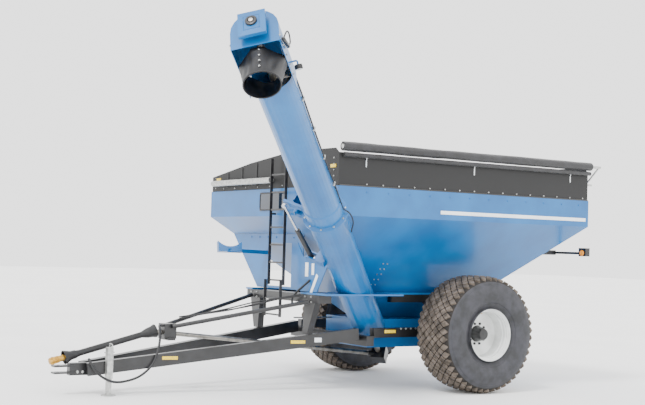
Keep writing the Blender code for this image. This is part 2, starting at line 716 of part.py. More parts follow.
def make_lower_auger():
    inner = TUBE_RADIUS - TUBE_WALL
    profile = [(LOWER_TUBE_START, TUBE_RADIUS), (-0.41, TUBE_RADIUS), (-0.395, SLEEVE_RADIUS),
               (-FLANGE_THICK - 0.02, SLEEVE_RADIUS), (-FLANGE_THICK, FLANGE_RADIUS), (-GAP, FLANGE_RADIUS),
               (-GAP, inner), (LOWER_TUBE_START, inner)]
    tube = turned("lower_auger_tube", profile, AUGER, "blue")
    pieces = []
    for low, high in ((-0.17, -0.062), (0.062, 0.17)):
        pieces.append(rod("knuckle", hinge_point(0, 0, low), hinge_point(0, 0, high), 0.045, segments=20))
        pieces.append(box("strap", (-0.07, -0.16, low), (-GAP, 0.0, high), frame=HINGE_FRAME))
    pieces.append(rod("hinge_pin", hinge_point(0, 0, -0.19), hinge_point(0, 0, 0.19), 0.018, segments=16))
    foot_u, foot_g = CYLINDER_FOOT
    for low, high in ((0.185, 0.210), (0.290, 0.315)):
        pieces.append(box("ear", (foot_u - 0.055, -0.32, low), (foot_u + 0.055, foot_g + 0.055, high),
                          frame=HINGE_FRAME))
    pieces.append(box("ear_block", (foot_u - 0.055, -0.32, 0.12), (foot_u + 0.055, -0.15, 0.315),
                      frame=HINGE_FRAME))
    tube = joined(tube, *pieces)
    cut(tube, rod("lower_bore", auger_point(LOWER_TUBE_START - 1), auger_point(0.5), inner, segments=ROUND))
    make_flight("lower_flighting", LOWER_SHAFT_START, LOWER_TUBE_START - 0.12, -0.05, -0.03)
    make_gearbox()


def make_flight(name, shaft_start, flight_start, flight_end, shaft_end):
    """A shaft with one helical blade, in the auger frame."""
    turns = (flight_end - flight_start) / FLIGHT_PITCH
    steps = max(8, round(turns * 14))
    rings = []
    for i in range(steps + 1):
        angle = 2 * math.pi * turns * i / steps
        along = flight_start + (flight_end - flight_start) * i / steps
        spoke = (0, math.cos(angle), math.sin(angle))
        corners = []
        for radius, push in ((SHAFT_RADIUS - 0.01, -1), (FLIGHT_RADIUS, -1), (FLIGHT_RADIUS, 1),
                             (SHAFT_RADIUS - 0.01, 1)):
            corners.append((along + push * FLIGHT_THICK / 2, spoke[1] * radius, spoke[2] * radius))
        rings.append(corners)
    blade = loft("blade", rings, frame=AUGER)
    shaft = rod(name, auger_point(shaft_start), auger_point(shaft_end), SHAFT_RADIUS, "steel", segments=16)
    joined(shaft, blade)


def make_gearbox():
    centre = auger_point(LOWER_SHAFT_START - GEARBOX_HALF - 0.03)
    gearbox = box("auger_gearbox", (-GEARBOX_HALF, -0.12, -0.12), (GEARBOX_HALF, 0.12, 0.12), "black",
                  axes(centre, ALONG, Z))
    reach = (Vector((PTO_X, 0, PTO_Z)) - centre).normalized()
    boss = rod("gearbox_boss", centre, centre + 0.24 * reach, 0.045, segments=20)
    joined(gearbox, boss)


def make_upper_auger():
    inner = TUBE_RADIUS - TUBE_WALL
    profile = [(GAP, FLANGE_RADIUS), (FLANGE_THICK, FLANGE_RADIUS), (FLANGE_THICK + 0.02, SLEEVE_RADIUS),
               (0.25, SLEEVE_RADIUS), (0.27, TUBE_RADIUS), (UPPER_TUBE_LENGTH, TUBE_RADIUS),
               (UPPER_TUBE_LENGTH, inner), (GAP, inner)]
    tube = turned("upper_auger_tube", profile, AUGER, "blue")
    pieces = [
        rod("knuckle", hinge_point(0, 0, -0.060), hinge_point(0, 0, 0.060), 0.045, segments=20),
        box("strap", (GAP, -0.16, -0.060), (0.08, 0.0, 0.060), frame=HINGE_FRAME),
        box("crank_arm", (0.20, -0.42, 0.165), (0.30, CRANK_OUT + 0.045, 0.200), frame=HINGE_FRAME),
        box("stiffener", (0.10, -0.20, -0.012), (0.62, -0.03, 0.012), frame=HINGE_FRAME),
    ]
    tube = joined(tube, *pieces)
    cut(tube, rod("upper_bore", auger_point(-0.5), auger_point(UPPER_TUBE_LENGTH + 1), inner),
        rod("pin_bore", hinge_point(0, 0, -0.061), hinge_point(0, 0, 0.061), 0.0186, segments=16))
    make_flight("upper_flighting", 0.03, 0.05, UPPER_TUBE_LENGTH + 0.09,
                UPPER_TUBE_LENGTH + HOOD_LENGTH - 0.06)
    pivot("upper_auger_tube", HINGE)
    make_hood()


def arch_ring(along, half, drop, segments=10):
    """An arch in the auger frame: a round top over straight sides."""
    ring = [(along, half, -drop)]
    for i in range(segments + 1):
        angle = math.pi * i / segments
        ring.append((along, half * math.cos(angle), half * math.sin(angle)))
    ring.append((along, -half, -drop))
    return ring


def make_hood():
    """Discharge hood over the end of the upper tube, open below."""
    start = UPPER_TUBE_LENGTH - 0.04
    end = start + HOOD_LENGTH
    drop = 0.28
    wall = 0.008
    hood = loft("discharge_hood", [arch_ring(start, HOOD_HALF_WIDTH, drop),
                                   arch_ring(end, HOOD_HALF_WIDTH, drop)], "blue", HEAD)
    hollow = loft("hood_hollow", [arch_ring(start - 0.1, HOOD_HALF_WIDTH - wall, drop + 0.1),
                                  arch_ring(end - wall, HOOD_HALF_WIDTH - wall, drop + 0.1)], frame=HEAD)
    hood = cut(hood, hollow)
    bearing = rod("bearing", AUGER @ Vector((end - 0.03, 0, 0)), AUGER @ Vector((end + 0.07, 0, 0)), 0.085,
                  segments=24)
    hood = joined(hood, bearing)
    cut(hood, rod("bearing_bore", AUGER @ Vector((end - 0.2, 0, 0)), AUGER @ Vector((end + 0.05, 0, 0)),
                  SHAFT_RADIUS + 0.001, segments=24))
    make_spout(start, end, drop, wall)


def make_spout(start, end, drop, wall):
    """Rubber boot: square where it hangs in the hood, round at its mouth."""
    middle = (start + end) / 2 + 0.05
    half_long = (end - start) / 2 - 0.12
    half_wide = HOOD_HALF_WIDTH - wall - 0.004
    hang = HEAD @ Matrix.Translation((middle, 0, -drop + 0.03))
    count = 24
    rings = []
    sheet = 0.007
    levels = ((0.0, 0.0, 1.0), (-0.05, 0.0, 1.0), (0.03 - SPOUT_REACH, SPOUT_LEAN, 0.0),
              (-SPOUT_REACH, SPOUT_LEAN, 0.0))
    for inner in (0.0, sheet):
        part = []
        for depth, shift, square in levels:
            ring = []
            for i in range(count):
                angle = 2 * math.pi * (i + 0.5) / count
                cx, cy = math.cos(angle), math.sin(angle)
                reach = 1 / max(abs(cx), abs(cy))
                box_x, box_y = cx * reach * (half_long - inner), cy * reach * (half_wide - inner)
                mouth = SPOUT_MOUTH_RADIUS - inner
                x = shift + square * box_x + (1 - square) * cx * mouth
                y = square * box_y + (1 - square) * cy * mouth
                ring.append((x, y, depth))
            part.append(ring)
        rings += part if not inner else part[::-1]
    loft("spout", rings, "black", hang, closed_ends=False)


def make_fold_cylinder():
    """Barrel on the lower tube, rod to the crank arm on the upper tube."""
    foot = Vector((CYLINDER_FOOT[0], CYLINDER_FOOT[1], CYLINDER_PLANE))
    tip = Vector((CRANK_ALONG, CRANK_OUT, CYLINDER_PLANE))
    reach = tip - foot
    frame = HINGE_FRAME @ axes(foot, reach, Z)
    long = CYLINDER_RETRACTED
    profile = [(0.05, 0.0), (0.05, 0.040), (long, 0.040), (long, 0.0195), (0.10, 0.0195), (0.10, 0.0)]
    barrel = turned("fold_cylinder_barrel", profile, frame, "black", segments=24)
    eye = rod("barrel_eye", frame @ Vector((0, 0, -0.022)), frame @ Vector((0, 0, 0.022)), 0.042, segments=20)
    neck = rod("barrel_neck", frame @ Vector((0, 0, 0)), frame @ Vector((0.08, 0, 0)), 0.024, segments=16)
    joined(barrel, eye, neck)
    far = reach.length
    rod_start = frame @ Vector((long - 0.06, 0, 0))
    rod_end = frame @ Vector((far - 0.01, 0, 0))
    piston = rod("fold_cylinder_rod", rod_start, rod_end, 0.019, "zinc", segments=16)
    eye_low, eye_high = frame @ Vector((far, 0, -0.020)), frame @ Vector((far, 0, 0.020))
    tip_eye = rod("rod_eye", eye_low, eye_high, 0.038, segments=20)
    joined(piston, tip_eye)


# ---------------------------------------------------------------- driveline, jack, ladder, fittings
def make_driveline():
    stand = box("pto_stand", (PTO_X - 0.10, -STAND_HALF, STAND_FOOT + 0.02),
                (PTO_X + 0.10, STAND_HALF, STAND_TOP), "black")
    foot = box("stand_foot", (PTO_X - 0.06, -0.17, STAND_FOOT), (PTO_X + 0.06, 0.17, STAND_FOOT + 0.035))
    stand = joined(stand, foot)
    start = Vector((PTO_X, 0, PTO_Z))
    gear = auger_point(LOWER_SHAFT_START - GEARBOX_HALF - 0.03)
    along = (start - gear).normalized()
    cut(stand, rod("stand_bore", start - 0.3 * along, start + 0.3 * along, 0.041, segments=24))
    rod("pto_rear_shaft", gear + 0.246 * along, start + 0.19 * along, 0.035, "steel", segments=20)
    rear_joint = start + 0.24 * along
    reach = PTO_FRONT - rear_joint
    pto = axes(rear_joint, reach, Z)
    far = reach.length
    guard = [(0.03, 0.040), (0.03, 0.085), (0.10, 0.075), (0.20, 0.046), (far - 0.28, 0.046),
             (far - 0.16, 0.062), (far - 0.06, 0.062), (far - 0.06, 0.040)]
    turned("pto_guard", guard, pto, "black", segments=24)
    core = rod("pto_front_shaft", pto @ Vector((0, 0, 0)), pto @ Vector((far + 0.02, 0, 0)), 0.026, "gold",
               segments=16)
    yoke = rod("yoke", pto @ Vector((far - 0.02, 0, 0)), pto @ Vector((far + 0.20, 0, 0)), 0.045, segments=20)
    joined(core, yoke)


def make_jack():
    x, y = JACK_PLACE
    tube = box("jack_tube", (x - 0.045, y - 0.045, 0.25), (x + 0.045, y + 0.045, 0.69), "zinc")
    arm = box("jack_arm", (x - 0.04, tongue_centre(x, 1).y + BEAM_WIDTH / 2 + 0.012, 0.37), (x + 0.04, y, 0.47))
    bore = box("jack_bore", (x - 0.037, y - 0.037, 0.2), (x + 0.037, y + 0.037, 0.66))
    cut(joined(tube, arm), bore)
    frame = Matrix.Translation((x, y, 0))
    leg = box("jack_leg", (-0.034, -0.034, 0.01), (0.034, 0.034, 0.45), "zinc", frame)
    foot = rod("jack_foot", (x, y, 0), (x, y, 0.014), 0.11, segments=24)
    joined(leg, foot)


def make_ladder():
    """A fixed ladder on the front of the hopper and a lower section hinged in front of its rails."""
    x = HOPPER_FRONT + 0.075
    left, right = LADDER_Y
    ladder = ladder_section("ladder", x, 1.66, 3.68, LADDER_RUNGS, 0.0)
    stay_z = BAND_BOTTOM + 0.018
    stays = [box("stay", (HOPPER_FRONT + 0.02, y - 0.02, stay_z), (x, y + 0.02, stay_z + 0.03))
             for y in LADDER_Y]
    joined(ladder, *stays)
    front = x + RAIL_DEPTH + 0.003
    ladder_section("ladder_step", front, 1.16, STEP_HINGE_Z + 0.04, STEP_RUNGS, 0.014)
    pivot("ladder_step", (front + RAIL_DEPTH / 2, (left + right) / 2, STEP_HINGE_Z))


def ladder_section(name, x, low, high, rungs, wider):
    left, right = LADDER_Y[0] - wider, LADDER_Y[1] + wider
    ladder = box(name, (x, left - 0.022, low), (x + RAIL_DEPTH, left - 0.012, high), "black")
    pieces = [box("rail", (x, right + 0.012, low), (x + RAIL_DEPTH, right + 0.022, high))]
    for z in rungs:
        pieces.append(box("rung", (x + 0.012, left - 0.018, z), (x + 0.038, right + 0.018, z + 0.026)))
    return joined(ladder, *pieces)


def make_fittings():
    make_saddle()
    for side, sign in (("left", 1), ("right", -1)):
        y = sorted((sign * 1.40, sign * 2.14))
        arm = box(side + "_light_arm", (LAMP_X - 0.02, y[0], LAMP_Z - 0.02), (LAMP_X + 0.02, y[1], LAMP_Z + 0.02),
                  "black")
        lamp_y = sorted((sign * 2.10, sign * 2.26))
        lamp = box("lamp", (LAMP_X - 0.05, lamp_y[0], LAMP_Z - 0.05), (LAMP_X + 0.05, lamp_y[1], LAMP_Z + 0.09))
        y = sorted((sign * 1.40, sign * 1.48))
        stay = box("lamp_stay", (LAMP_X - 0.02, y[0], LAMP_Z - 0.04), (rear_x(LAMP_Z) + 0.2, y[1], LAMP_Z + 0.04))
        cut(joined(arm, lamp, stay), hopper_cutter("stay_hopper_cut"))
    route = [(5.95, 0.13, 0.492), (5.99, 0.17, 0.53), (6.00, 0.24, 0.50), (5.93, 0.33, 0.35), (5.77, 0.39, 0.235),
             (5.58, 0.41, 0.205), (5.31, 0.42, 0.27), (5.11, 0.42, 0.42), (5.01, 0.41, 0.61), (4.94, 0.34, 0.81),
             (4.89, 0.22, 0.95), (4.83, 0.07, 1.0), (4.765, 0.07, 1.0)]
    pipe("hydraulic_hose", route, 0.018, "rubber", smooth_steps=6)


def make_saddle():
    """Rest for the folded upper tube, on the right of the bulkhead."""
    turn = Matrix.Rotation(FOLD_ANGLE, 4, HINGE_LINE)
    place = Matrix.Translation(HINGE) @ turn @ Matrix.Translation(-HINGE)
    centre = place @ auger_point(SADDLE_SHARE)
    along = (place @ auger_point(SADDLE_SHARE + 1)) - centre
    frame = axes(centre, along, Z)
    saddle = box("auger_saddle", (-0.05, -0.20, -0.36), (0.05, 0.20, -0.16), "blue", frame)
    foot = frame @ Vector((0, 0, -0.33))
    arm = beam("saddle_arm", (BULKHEAD_X + 0.006, foot.y, foot.z - 0.02), (foot.x + 0.05, foot.y, foot.z), 0.10,
               0.06)
    saddle = joined(saddle, arm)
    tube = rod("saddle_cut", centre - along, centre + along, TUBE_RADIUS + 0.003)
    cut(saddle, tube)


# ---------------------------------------------------------------- whole cart
def centre_on_ground():
    """Parent every part to one empty and stand the middle of the whole over the origin."""
    bpy.context.view_layer.update()
    low = Vector((1e9, 1e9, 1e9))
    high = -low
    for obj in PARTS.objects:
        if obj.name in HANGING:
            continue
        for vertex in obj.data.vertices:
            place = obj.matrix_world @ vertex.co
            low = Vector(map(min, low, place))
            high = Vector(map(max, high, place))
    root = bpy.data.objects.new("cart_origin", None)
    bpy.context.scene.collection.objects.link(root)
    for obj in PARTS.objects:
        obj.parent = root
    root.location = (-(low.x + high.x) / 2, -(low.y + high.y) / 2, -low.z)
    bpy.context.view_layer.update()


clear_scene()
PARTS = new_collection("grain_cart")
CUTTERS = new_collection("cutters")
make_hopper()
make_window()
make_sump()
make_bulkhead()
make_ledges()
make_boards()
make_frame()
make_wheels()
make_lower_auger()
make_upper_auger()
make_fold_cylinder()
make_driveline()
make_jack()
make_ladder()
make_fittings()
centre_on_ground()
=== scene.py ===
# %% [markdown]
# # A corner-auger grain cart
# This lesson dresses a finished CAD model. The CAD gives every plate, tube, wheel and joint its true size and
# place; here each surface gets its paint, rubber or cloth, and the pieces too fine for the CAD are modelled on
# top of it. Everything is in metres, X forward along the tongue, Y to the cart's left, Z up.

# %% Load the frame
import json
import math
import bmesh
import bpy
from mathutils import Matrix, Vector, noise


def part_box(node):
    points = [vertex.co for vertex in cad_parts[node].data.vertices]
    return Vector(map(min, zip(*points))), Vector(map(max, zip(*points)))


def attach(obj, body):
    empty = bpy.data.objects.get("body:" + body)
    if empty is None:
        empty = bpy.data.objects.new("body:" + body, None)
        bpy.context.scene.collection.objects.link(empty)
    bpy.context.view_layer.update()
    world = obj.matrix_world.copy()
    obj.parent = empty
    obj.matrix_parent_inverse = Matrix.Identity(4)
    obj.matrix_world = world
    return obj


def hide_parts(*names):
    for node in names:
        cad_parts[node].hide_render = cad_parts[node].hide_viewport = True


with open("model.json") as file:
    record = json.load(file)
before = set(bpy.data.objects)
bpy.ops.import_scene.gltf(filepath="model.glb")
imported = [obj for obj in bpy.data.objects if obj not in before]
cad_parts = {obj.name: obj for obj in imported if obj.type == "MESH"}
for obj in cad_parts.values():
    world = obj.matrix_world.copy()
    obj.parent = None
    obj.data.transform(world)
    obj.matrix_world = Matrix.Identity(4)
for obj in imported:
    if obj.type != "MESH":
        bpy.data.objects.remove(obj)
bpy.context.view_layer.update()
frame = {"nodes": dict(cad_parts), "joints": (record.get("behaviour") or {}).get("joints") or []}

NODES = frame["nodes"]
X, Y, Z = Vector((1, 0, 0)), Vector((0, 1, 0)), Vector((0, 0, 1))

# %% [markdown]
# Every place below is counted from one point, the spot on the ground below the middle of the axle, because a
# cart is drawn from its axle. It is read from the CAD axle, so nothing has to be fitted by eye.

# %% The point below the axle
axle_low, axle_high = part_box("axle")
HOME = Vector(((axle_low.x + axle_high.x) / 2, (axle_low.y + axle_high.y) / 2, 0))


def at(x, y, z):
    """A point counted from the ground below the axle."""
    return HOME + Vector((x, y, z))


AT_HOME = Matrix.Translation(HOME)
print("home", tuple(round(v, 3) for v in HOME))

# %% [markdown]
# The camera stands ahead of the cart and to its left, a little above a person's eye, with a long lens. It is
# built from three directions: where it looks, and its right and up after a slight roll.

# %% Camera
LOOK_TURN, LOOK_UP, ROLL = 0.566, 0.029, 0.029
look = Vector((-math.sin(LOOK_TURN) * math.cos(LOOK_UP), -math.cos(LOOK_TURN) * math.cos(LOOK_UP),
               math.sin(LOOK_UP)))
level_right = look.cross(Z).normalized()
level_up = level_right.cross(look)
right = math.cos(ROLL) * level_right + math.sin(ROLL) * level_up
up = look.cross(-right).normalized()
bpy.ops.object.camera_add()
camera = bpy.context.object
camera.name = "camera"
camera.matrix_world = Matrix((right, up, -look)).transposed().to_4x4()
camera.location = at(12.488, 16.588, 2.266)
camera.data.sensor_width = 36
camera.data.lens = 65.54
camera.data.shift_x = 0.0056
camera.data.shift_y = 0.0173
camera.data.clip_end = 300
camera.data.dof.use_dof = False
bpy.context.scene.camera = camera
print("camera", tuple(round(v, 2) for v in camera.location))

# %% [markdown]
# A plain pale floor and soft light. One broad sun lights the front and the left side from above, a weaker one
# fills the shade, and a nearly white sky gives the paint something even to reflect.

# %% Floor and light
FLOOR_SIZE = 160
bpy.ops.mesh.primitive_plane_add(size=FLOOR_SIZE, location=(0, 0, -0.001))
floor = bpy.context.object
floor.name = "floor"


def add_sun(name, turn, height, strength, spread):
    """A sun that shines from a compass turn and a height, both in degrees."""
    bpy.ops.object.light_add(type="SUN")
    sun = bpy.context.object
    sun.name = name
    sun.data.energy = strength
    sun.data.angle = math.radians(spread)
    sun.rotation_euler = (math.radians(90 - height), 0, math.radians(turn))
    return sun


add_sun("key_sun", 112, 52, 2.4, 14)
add_sun("fill_sun", 190, 30, 0.9, 40)
sky = bpy.data.worlds.new("studio_sky")
sky.use_nodes = True
sky.node_tree.nodes["Background"].inputs["Color"].default_value = (1.0, 1.0, 1.0, 1.0)
sky.node_tree.nodes["Background"].inputs["Strength"].default_value = 2.4
bpy.context.scene.world = sky

# %% [markdown]
# ## Finishes
# Paint colours are quoted as sRGB hex, but Blender's sockets are linear, so one function converts them. One more
# small function adds a node, sets it and wires it, and each finish is then a short recipe.

# %% Colour and node helpers
def paint_colour(hex_code):
    """An sRGB hex colour as the linear colour a socket takes."""
    channels = [int(hex_code[i:i + 2], 16) / 255 for i in (1, 3, 5)]
    linear = [c / 12.92 if c <= 0.04045 else ((c + 0.055) / 1.055) ** 2.4 for c in channels]
    return (*linear, 1.0)


def node(material, kind, values=(), links=(), **settings):
    """Add one node: settings are its own properties, values its sockets, links the sockets wired into it."""
    made = material.node_tree.nodes.new(kind)
    for name, value in settings.items():
        setattr(made, name, value)
    for name, value in dict(values).items():
        made.inputs[name].default_value = value
    for name, source in dict(links).items():
        material.node_tree.links.new(source, made.inputs[name])
    return made


def new_finish(name, colour, roughness, metallic=0.0):
    """A material with one shader set to its plain values, ready for patterns."""
    material = bpy.data.materials.new(name)
    material.use_nodes = True
    shader = material.node_tree.nodes["Principled BSDF"]
    shader.inputs["Base Color"].default_value = paint_colour(colour)
    shader.inputs["Roughness"].default_value = roughness
    shader.inputs["Metallic"].default_value = metallic
    material.diffuse_color = paint_colour(colour)
    return material, shader


def vary(material, shader, colours, scale, roughness=None, detail=4.0, stretch=(1, 1, 1), span=(0.35, 0.65)):
    """Drift the colour, and the roughness if a pair is given, with noise of so many blotches a metre."""
    place = node(material, "ShaderNodeTexCoord")
    mapped = node(material, "ShaderNodeMapping", {"Scale": stretch}, {"Vector": place.outputs["Object"]})
    blotch = node(material, "ShaderNodeTexNoise", {"Scale": scale, "Detail": detail},
                  {"Vector": mapped.outputs["Vector"]})
    ramp = node(material, "ShaderNodeValToRGB", links={"Fac": blotch.outputs["Fac"]})
    for stop, at_share, code in zip(ramp.color_ramp.elements, span, colours):
        stop.position = at_share
        stop.color = paint_colour(code)
    material.node_tree.links.new(ramp.outputs["Color"], shader.inputs["Base Color"])
    if roughness:
        level = node(material, "ShaderNodeMapRange", {"To Min": roughness[0], "To Max": roughness[1]},
                     {"Value": blotch.outputs["Fac"]})
        material.node_tree.links.new(level.outputs["Result"], shader.inputs["Roughness"])
    return mapped


def roughen(material, shader, mapped, scale, height, strength=0.5, detail=2.0):
    """A fine relief: height in metres, scale in grains a metre."""
    grain = node(material, "ShaderNodeTexNoise", {"Scale": scale, "Detail": detail},
                 {"Vector": mapped.outputs["Vector"]})
    bump = node(material, "ShaderNodeBump", {"Strength": strength, "Distance": height},
                {"Height": grain.outputs["Fac"]})
    material.node_tree.links.new(bump.outputs["Normal"], shader.inputs["Normal"])
    return bump


floor_finish, floor_shader = new_finish("matt_studio_floor", "#F4F4F3", 0.9)
vary(floor_finish, floor_shader, ("#F2F2F1", "#F6F6F5"), 0.4)
floor.data.materials.append(floor_finish)
print("floor finish ready")

# %% [markdown]
# The hopper is rolled sheet steel under two-part enamel: a saturated, glossy coat with a hard clear top. Large
# sheets are never quite flat, so a slow, shallow relief makes the reflections wander, and a little field dust
# lifts the colour here and there.

# %% Blue enamel
blue_enamel, shader = new_finish("blue_enamel", "#005C98", 0.38)
mapped = vary(blue_enamel, shader, ("#005690", "#0064A2"), 1.6, (0.26, 0.42), detail=7.0)
roughen(blue_enamel, shader, mapped, 3.0, 0.004, 0.25, detail=3.0)
shader.inputs["Coat Weight"].default_value = 0.25
shader.inputs["Coat Roughness"].default_value = 0.12

# %% [markdown]
# The running gear is painted black and catches dust, so it is a warm black that varies more than the blue. The
# raised sides above the hopper are powder coated: a duller, finely grained black.

# %% Black enamel and powder coat
black_enamel, shader = new_finish("black_enamel", "#151517", 0.36)
mapped = vary(black_enamel, shader, ("#0F0F11", "#1E1E20"), 5.0, (0.28, 0.5), detail=8.0)
roughen(black_enamel, shader, mapped, 60.0, 0.0006, 0.3)
shader.inputs["Coat Weight"].default_value = 0.25
shader.inputs["Coat Roughness"].default_value = 0.15

powder_coat, shader = new_finish("black_powder_coat", "#0D0D0E", 0.6)
mapped = vary(powder_coat, shader, ("#0A0A0B", "#121213"), 2.2, (0.52, 0.68), detail=8.0)
roughen(powder_coat, shader, mapped, 140.0, 0.0005, 0.35)

# %% [markdown]
# Bare and plated steel: the flighting is worn bright by grain, the jack, rail and cylinder rod are zinc plated.
# Both are metals, so the colour is the reflection's, and the wear shows as a change of roughness.

# %% Steel finishes
worn_steel, shader = new_finish("grain_worn_steel", "#9A968F", 0.38, 1.0)
vary(worn_steel, shader, ("#7D7A75", "#ABA79F"), 9.0, (0.28, 0.5), detail=6.0)

zinc_plate, shader = new_finish("zinc_plated_steel", "#B9BAB8", 0.42, 1.0)
vary(zinc_plate, shader, ("#A3A4A3", "#C9CAC7"), 22.0, (0.34, 0.55), detail=5.0)

chrome_rod, shader = new_finish("hard_chrome", "#D8DADC", 0.12, 1.0)
vary(chrome_rod, shader, ("#CBCDD0", "#E2E3E4"), 40.0, (0.09, 0.2))

brass_yellow, shader = new_finish("yellow_zinc_chromate", "#B98B2D", 0.4, 0.6)
vary(brass_yellow, shader, ("#9C6F1E", "#CDA24A"), 26.0, (0.32, 0.5))

# %% [markdown]
# Rubber, plastic and cloth. Tyre rubber is nearly black where clean and brown-grey where soil dries on it,
# so two tyre finishes share a recipe. The cover is PVC-coated polyester: satin, with a fine weave below.

# %% Rubber, plastic and cloth finishes
side_rubber, shader = new_finish("tyre_sidewall_rubber", "#26262A", 0.62)
mapped = vary(side_rubber, shader, ("#1E1F22", "#34343A"), 7.0, (0.5, 0.75), detail=7.0)
roughen(side_rubber, shader, mapped, 90.0, 0.0012, 0.4)

tread_rubber, shader = new_finish("dusty_tread_rubber", "#4A423A", 0.85)
mapped = vary(tread_rubber, shader, ("#383129", "#6B6056"), 9.0, (0.75, 0.95), detail=8.0)
roughen(tread_rubber, shader, mapped, 120.0, 0.002, 0.5)

groove_rubber, shader = new_finish("tread_groove_rubber", "#211E1B", 0.9)
vary(groove_rubber, shader, ("#181614", "#2B2622"), 12.0)

moulded_rubber, shader = new_finish("moulded_black_rubber", "#131315", 0.5)
mapped = vary(moulded_rubber, shader, ("#0E0E10", "#1B1B1E"), 8.0, (0.4, 0.6))
roughen(moulded_rubber, shader, mapped, 45.0, 0.0015, 0.3)

guard_plastic, shader = new_finish("moulded_polyethylene", "#161617", 0.48)
mapped = vary(guard_plastic, shader, ("#111112", "#1D1D1F"), 12.0, (0.4, 0.56))
roughen(guard_plastic, shader, mapped, 120.0, 0.0004, 0.25)

cover_cloth, shader = new_finish("pvc_coated_polyester", "#141416", 0.46)
mapped = vary(cover_cloth, shader, ("#0E0E10", "#222226"), 6.0, (0.36, 0.6), detail=6.0)
roughen(cover_cloth, shader, mapped, 26.0, 0.006, 0.5, detail=4.0)
shader.inputs["Sheen Weight"].default_value = 0.15

# %% [markdown]
# The wheels are enamelled a cool off-white, the window pane is painted the dark blue of the shaded hopper behind
# clear glass (painted shade), and the lamps and reflectors are moulded acrylic, which keeps a hard gloss and a strong
# colour.

# %% Wheel enamel, glass and lenses
wheel_enamel, shader = new_finish("off_white_enamel", "#D9DBDA", 0.32)
mapped = vary(wheel_enamel, shader, ("#C9CBC9", "#E4E6E5"), 5.0, (0.26, 0.42), detail=8.0, span=(0.3, 0.6))
roughen(wheel_enamel, shader, mapped, 50.0, 0.0005, 0.25)
shader.inputs["Coat Weight"].default_value = 0.3

# The pane is opaque and painted dark blue as painted shade: the shaded hopper inside, seen through clear glass.
window_painted_shade, shader = new_finish("window_glass_painted_shade", "#0A1726", 0.06)
vary(window_painted_shade, shader, ("#091422", "#12273C"), 2.0)
shader.inputs["Coat Weight"].default_value = 0.6

amber_lens, shader = new_finish("amber_acrylic", "#E08A12", 0.18)
vary(amber_lens, shader, ("#D77B08", "#F0A022"), 60.0)
shader.inputs["Coat Weight"].default_value = 0.6

red_lens, shader = new_finish("red_acrylic", "#B3180F", 0.18)
vary(red_lens, shader, ("#9E120B", "#C9241A"), 60.0)

yellow_lens, shader = new_finish("yellow_reflector_acrylic", "#E5C21C", 0.25)
vary(yellow_lens, shader, ("#D6B010", "#F2D438"), 90.0, detail=1.0)

white_vinyl, shader = new_finish("white_vinyl_film", "#EEF1F3", 0.3)
vary(white_vinyl, shader, ("#E6EAED", "#F5F7F8"), 3.0)

print("finishes", len(bpy.data.materials))

# %% [markdown]
# The CAD pieces whose shapes are right keep them and only take a finish. A dictionary from finish to node names
# says it in one place.

# %% Dress the CAD pieces
DRESS = {
    "blue_enamel": ("left_side_panel right_side_panel front_panel rear_panel sump cleanout_door front_bulkhead "
                    "auger_gusset left_sill right_sill lower_auger_tube upper_auger_tube discharge_hood "
                    "auger_saddle"),
    "black_powder_coat": "left_sideboard right_sideboard front_end_cap rear_end_cap",
    "grain_worn_steel": "flow_gate lower_flighting upper_flighting pto_rear_shaft",
    "window_glass_painted_shade": "sight_window",
    "pvc_coated_polyester": "tarp_roll",
    "zinc_plated_steel": "tarp_crank front_rail jack_tube jack_leg",
    "hard_chrome": "fold_cylinder_rod",
    "tyre_sidewall_rubber": "left_tyre right_tyre",
    "off_white_enamel": "left_rim right_rim",
    "moulded_polyethylene": "pto_guard",
    "yellow_zinc_chromate": "pto_front_shaft",
    "moulded_black_rubber": "hydraulic_hose spout",
}
finish_of = {name: finish for finish, names in DRESS.items() for name in names.split()}
for name, solid in NODES.items():
    solid.data.materials.clear()
    solid.data.materials.append(bpy.data.materials[finish_of.get(name, "black_enamel")])
print("dressed", len(NODES), "nodes")

# %% [markdown]
# ## Ways of working
# Operators act on whatever is selected, and the loaded CAD nodes start out selected. So every piece begins by
# clearing the selection, and edges or faces are picked by where they are or which way they face.

# %% Selecting and finishing helpers
def clear_pick():
    """Object mode with nothing selected."""
    if bpy.context.object and bpy.context.object.mode != "OBJECT":
        bpy.ops.object.mode_set(mode="OBJECT")
    bpy.ops.object.select_all(action="DESELECT")


def pick(obj, test, kind="FACE"):
    """Enter edit mode with only the faces or edges that pass a test on their middle and direction."""
    bpy.context.view_layer.objects.active = obj
    bpy.ops.object.mode_set(mode="EDIT")
    bpy.ops.mesh.select_mode(type=kind)
    bpy.ops.mesh.select_all(action="DESELECT")
    shape = bmesh.from_edit_mesh(obj.data)
    for part in shape.faces if kind == "FACE" else shape.edges:
        corners = part.verts
        middle = sum((corner.co for corner in corners), Vector()) / len(corners)
        facing = part.normal if kind == "FACE" else (corners[1].co - corners[0].co).normalized()
        if test(middle, facing):
            part.select_set(True)
    bmesh.update_edit_mesh(obj.data)


def leave_edit():
    """Back from edit mode to object mode."""
    bpy.ops.object.mode_set(mode="OBJECT")


def settle(obj, name, finish, body="cart", smooth=35):
    """Name a piece, put its place into its mesh, give it a finish and let it ride on a body."""
    clear_pick()
    obj.name = name
    obj.data.name = name
    bpy.context.view_layer.objects.active = obj
    obj.select_set(True)
    for modifier in list(obj.modifiers):
        bpy.ops.object.modifier_apply(modifier=modifier.name)
    bpy.ops.object.transform_apply(location=True, rotation=True, scale=True)
    if not obj.data.materials:
        obj.data.materials.append(finish)
    bpy.ops.object.shade_smooth_by_angle(angle=math.radians(smooth))
    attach(obj, body)
    print(name, len(obj.data.polygons), "faces on", body)
    return obj


def facing_frame(place, normal, size=1.0, turn=0.0):
    """A place to put a copy, with its Z along a normal."""
    swing = Vector(normal).to_track_quat("Z", "Y").to_matrix().to_4x4()
    return (Matrix.Translation(place) @ swing @ Matrix.Rotation(turn, 4, "Z")
            @ Matrix.Diagonal((size, size, size, 1)))


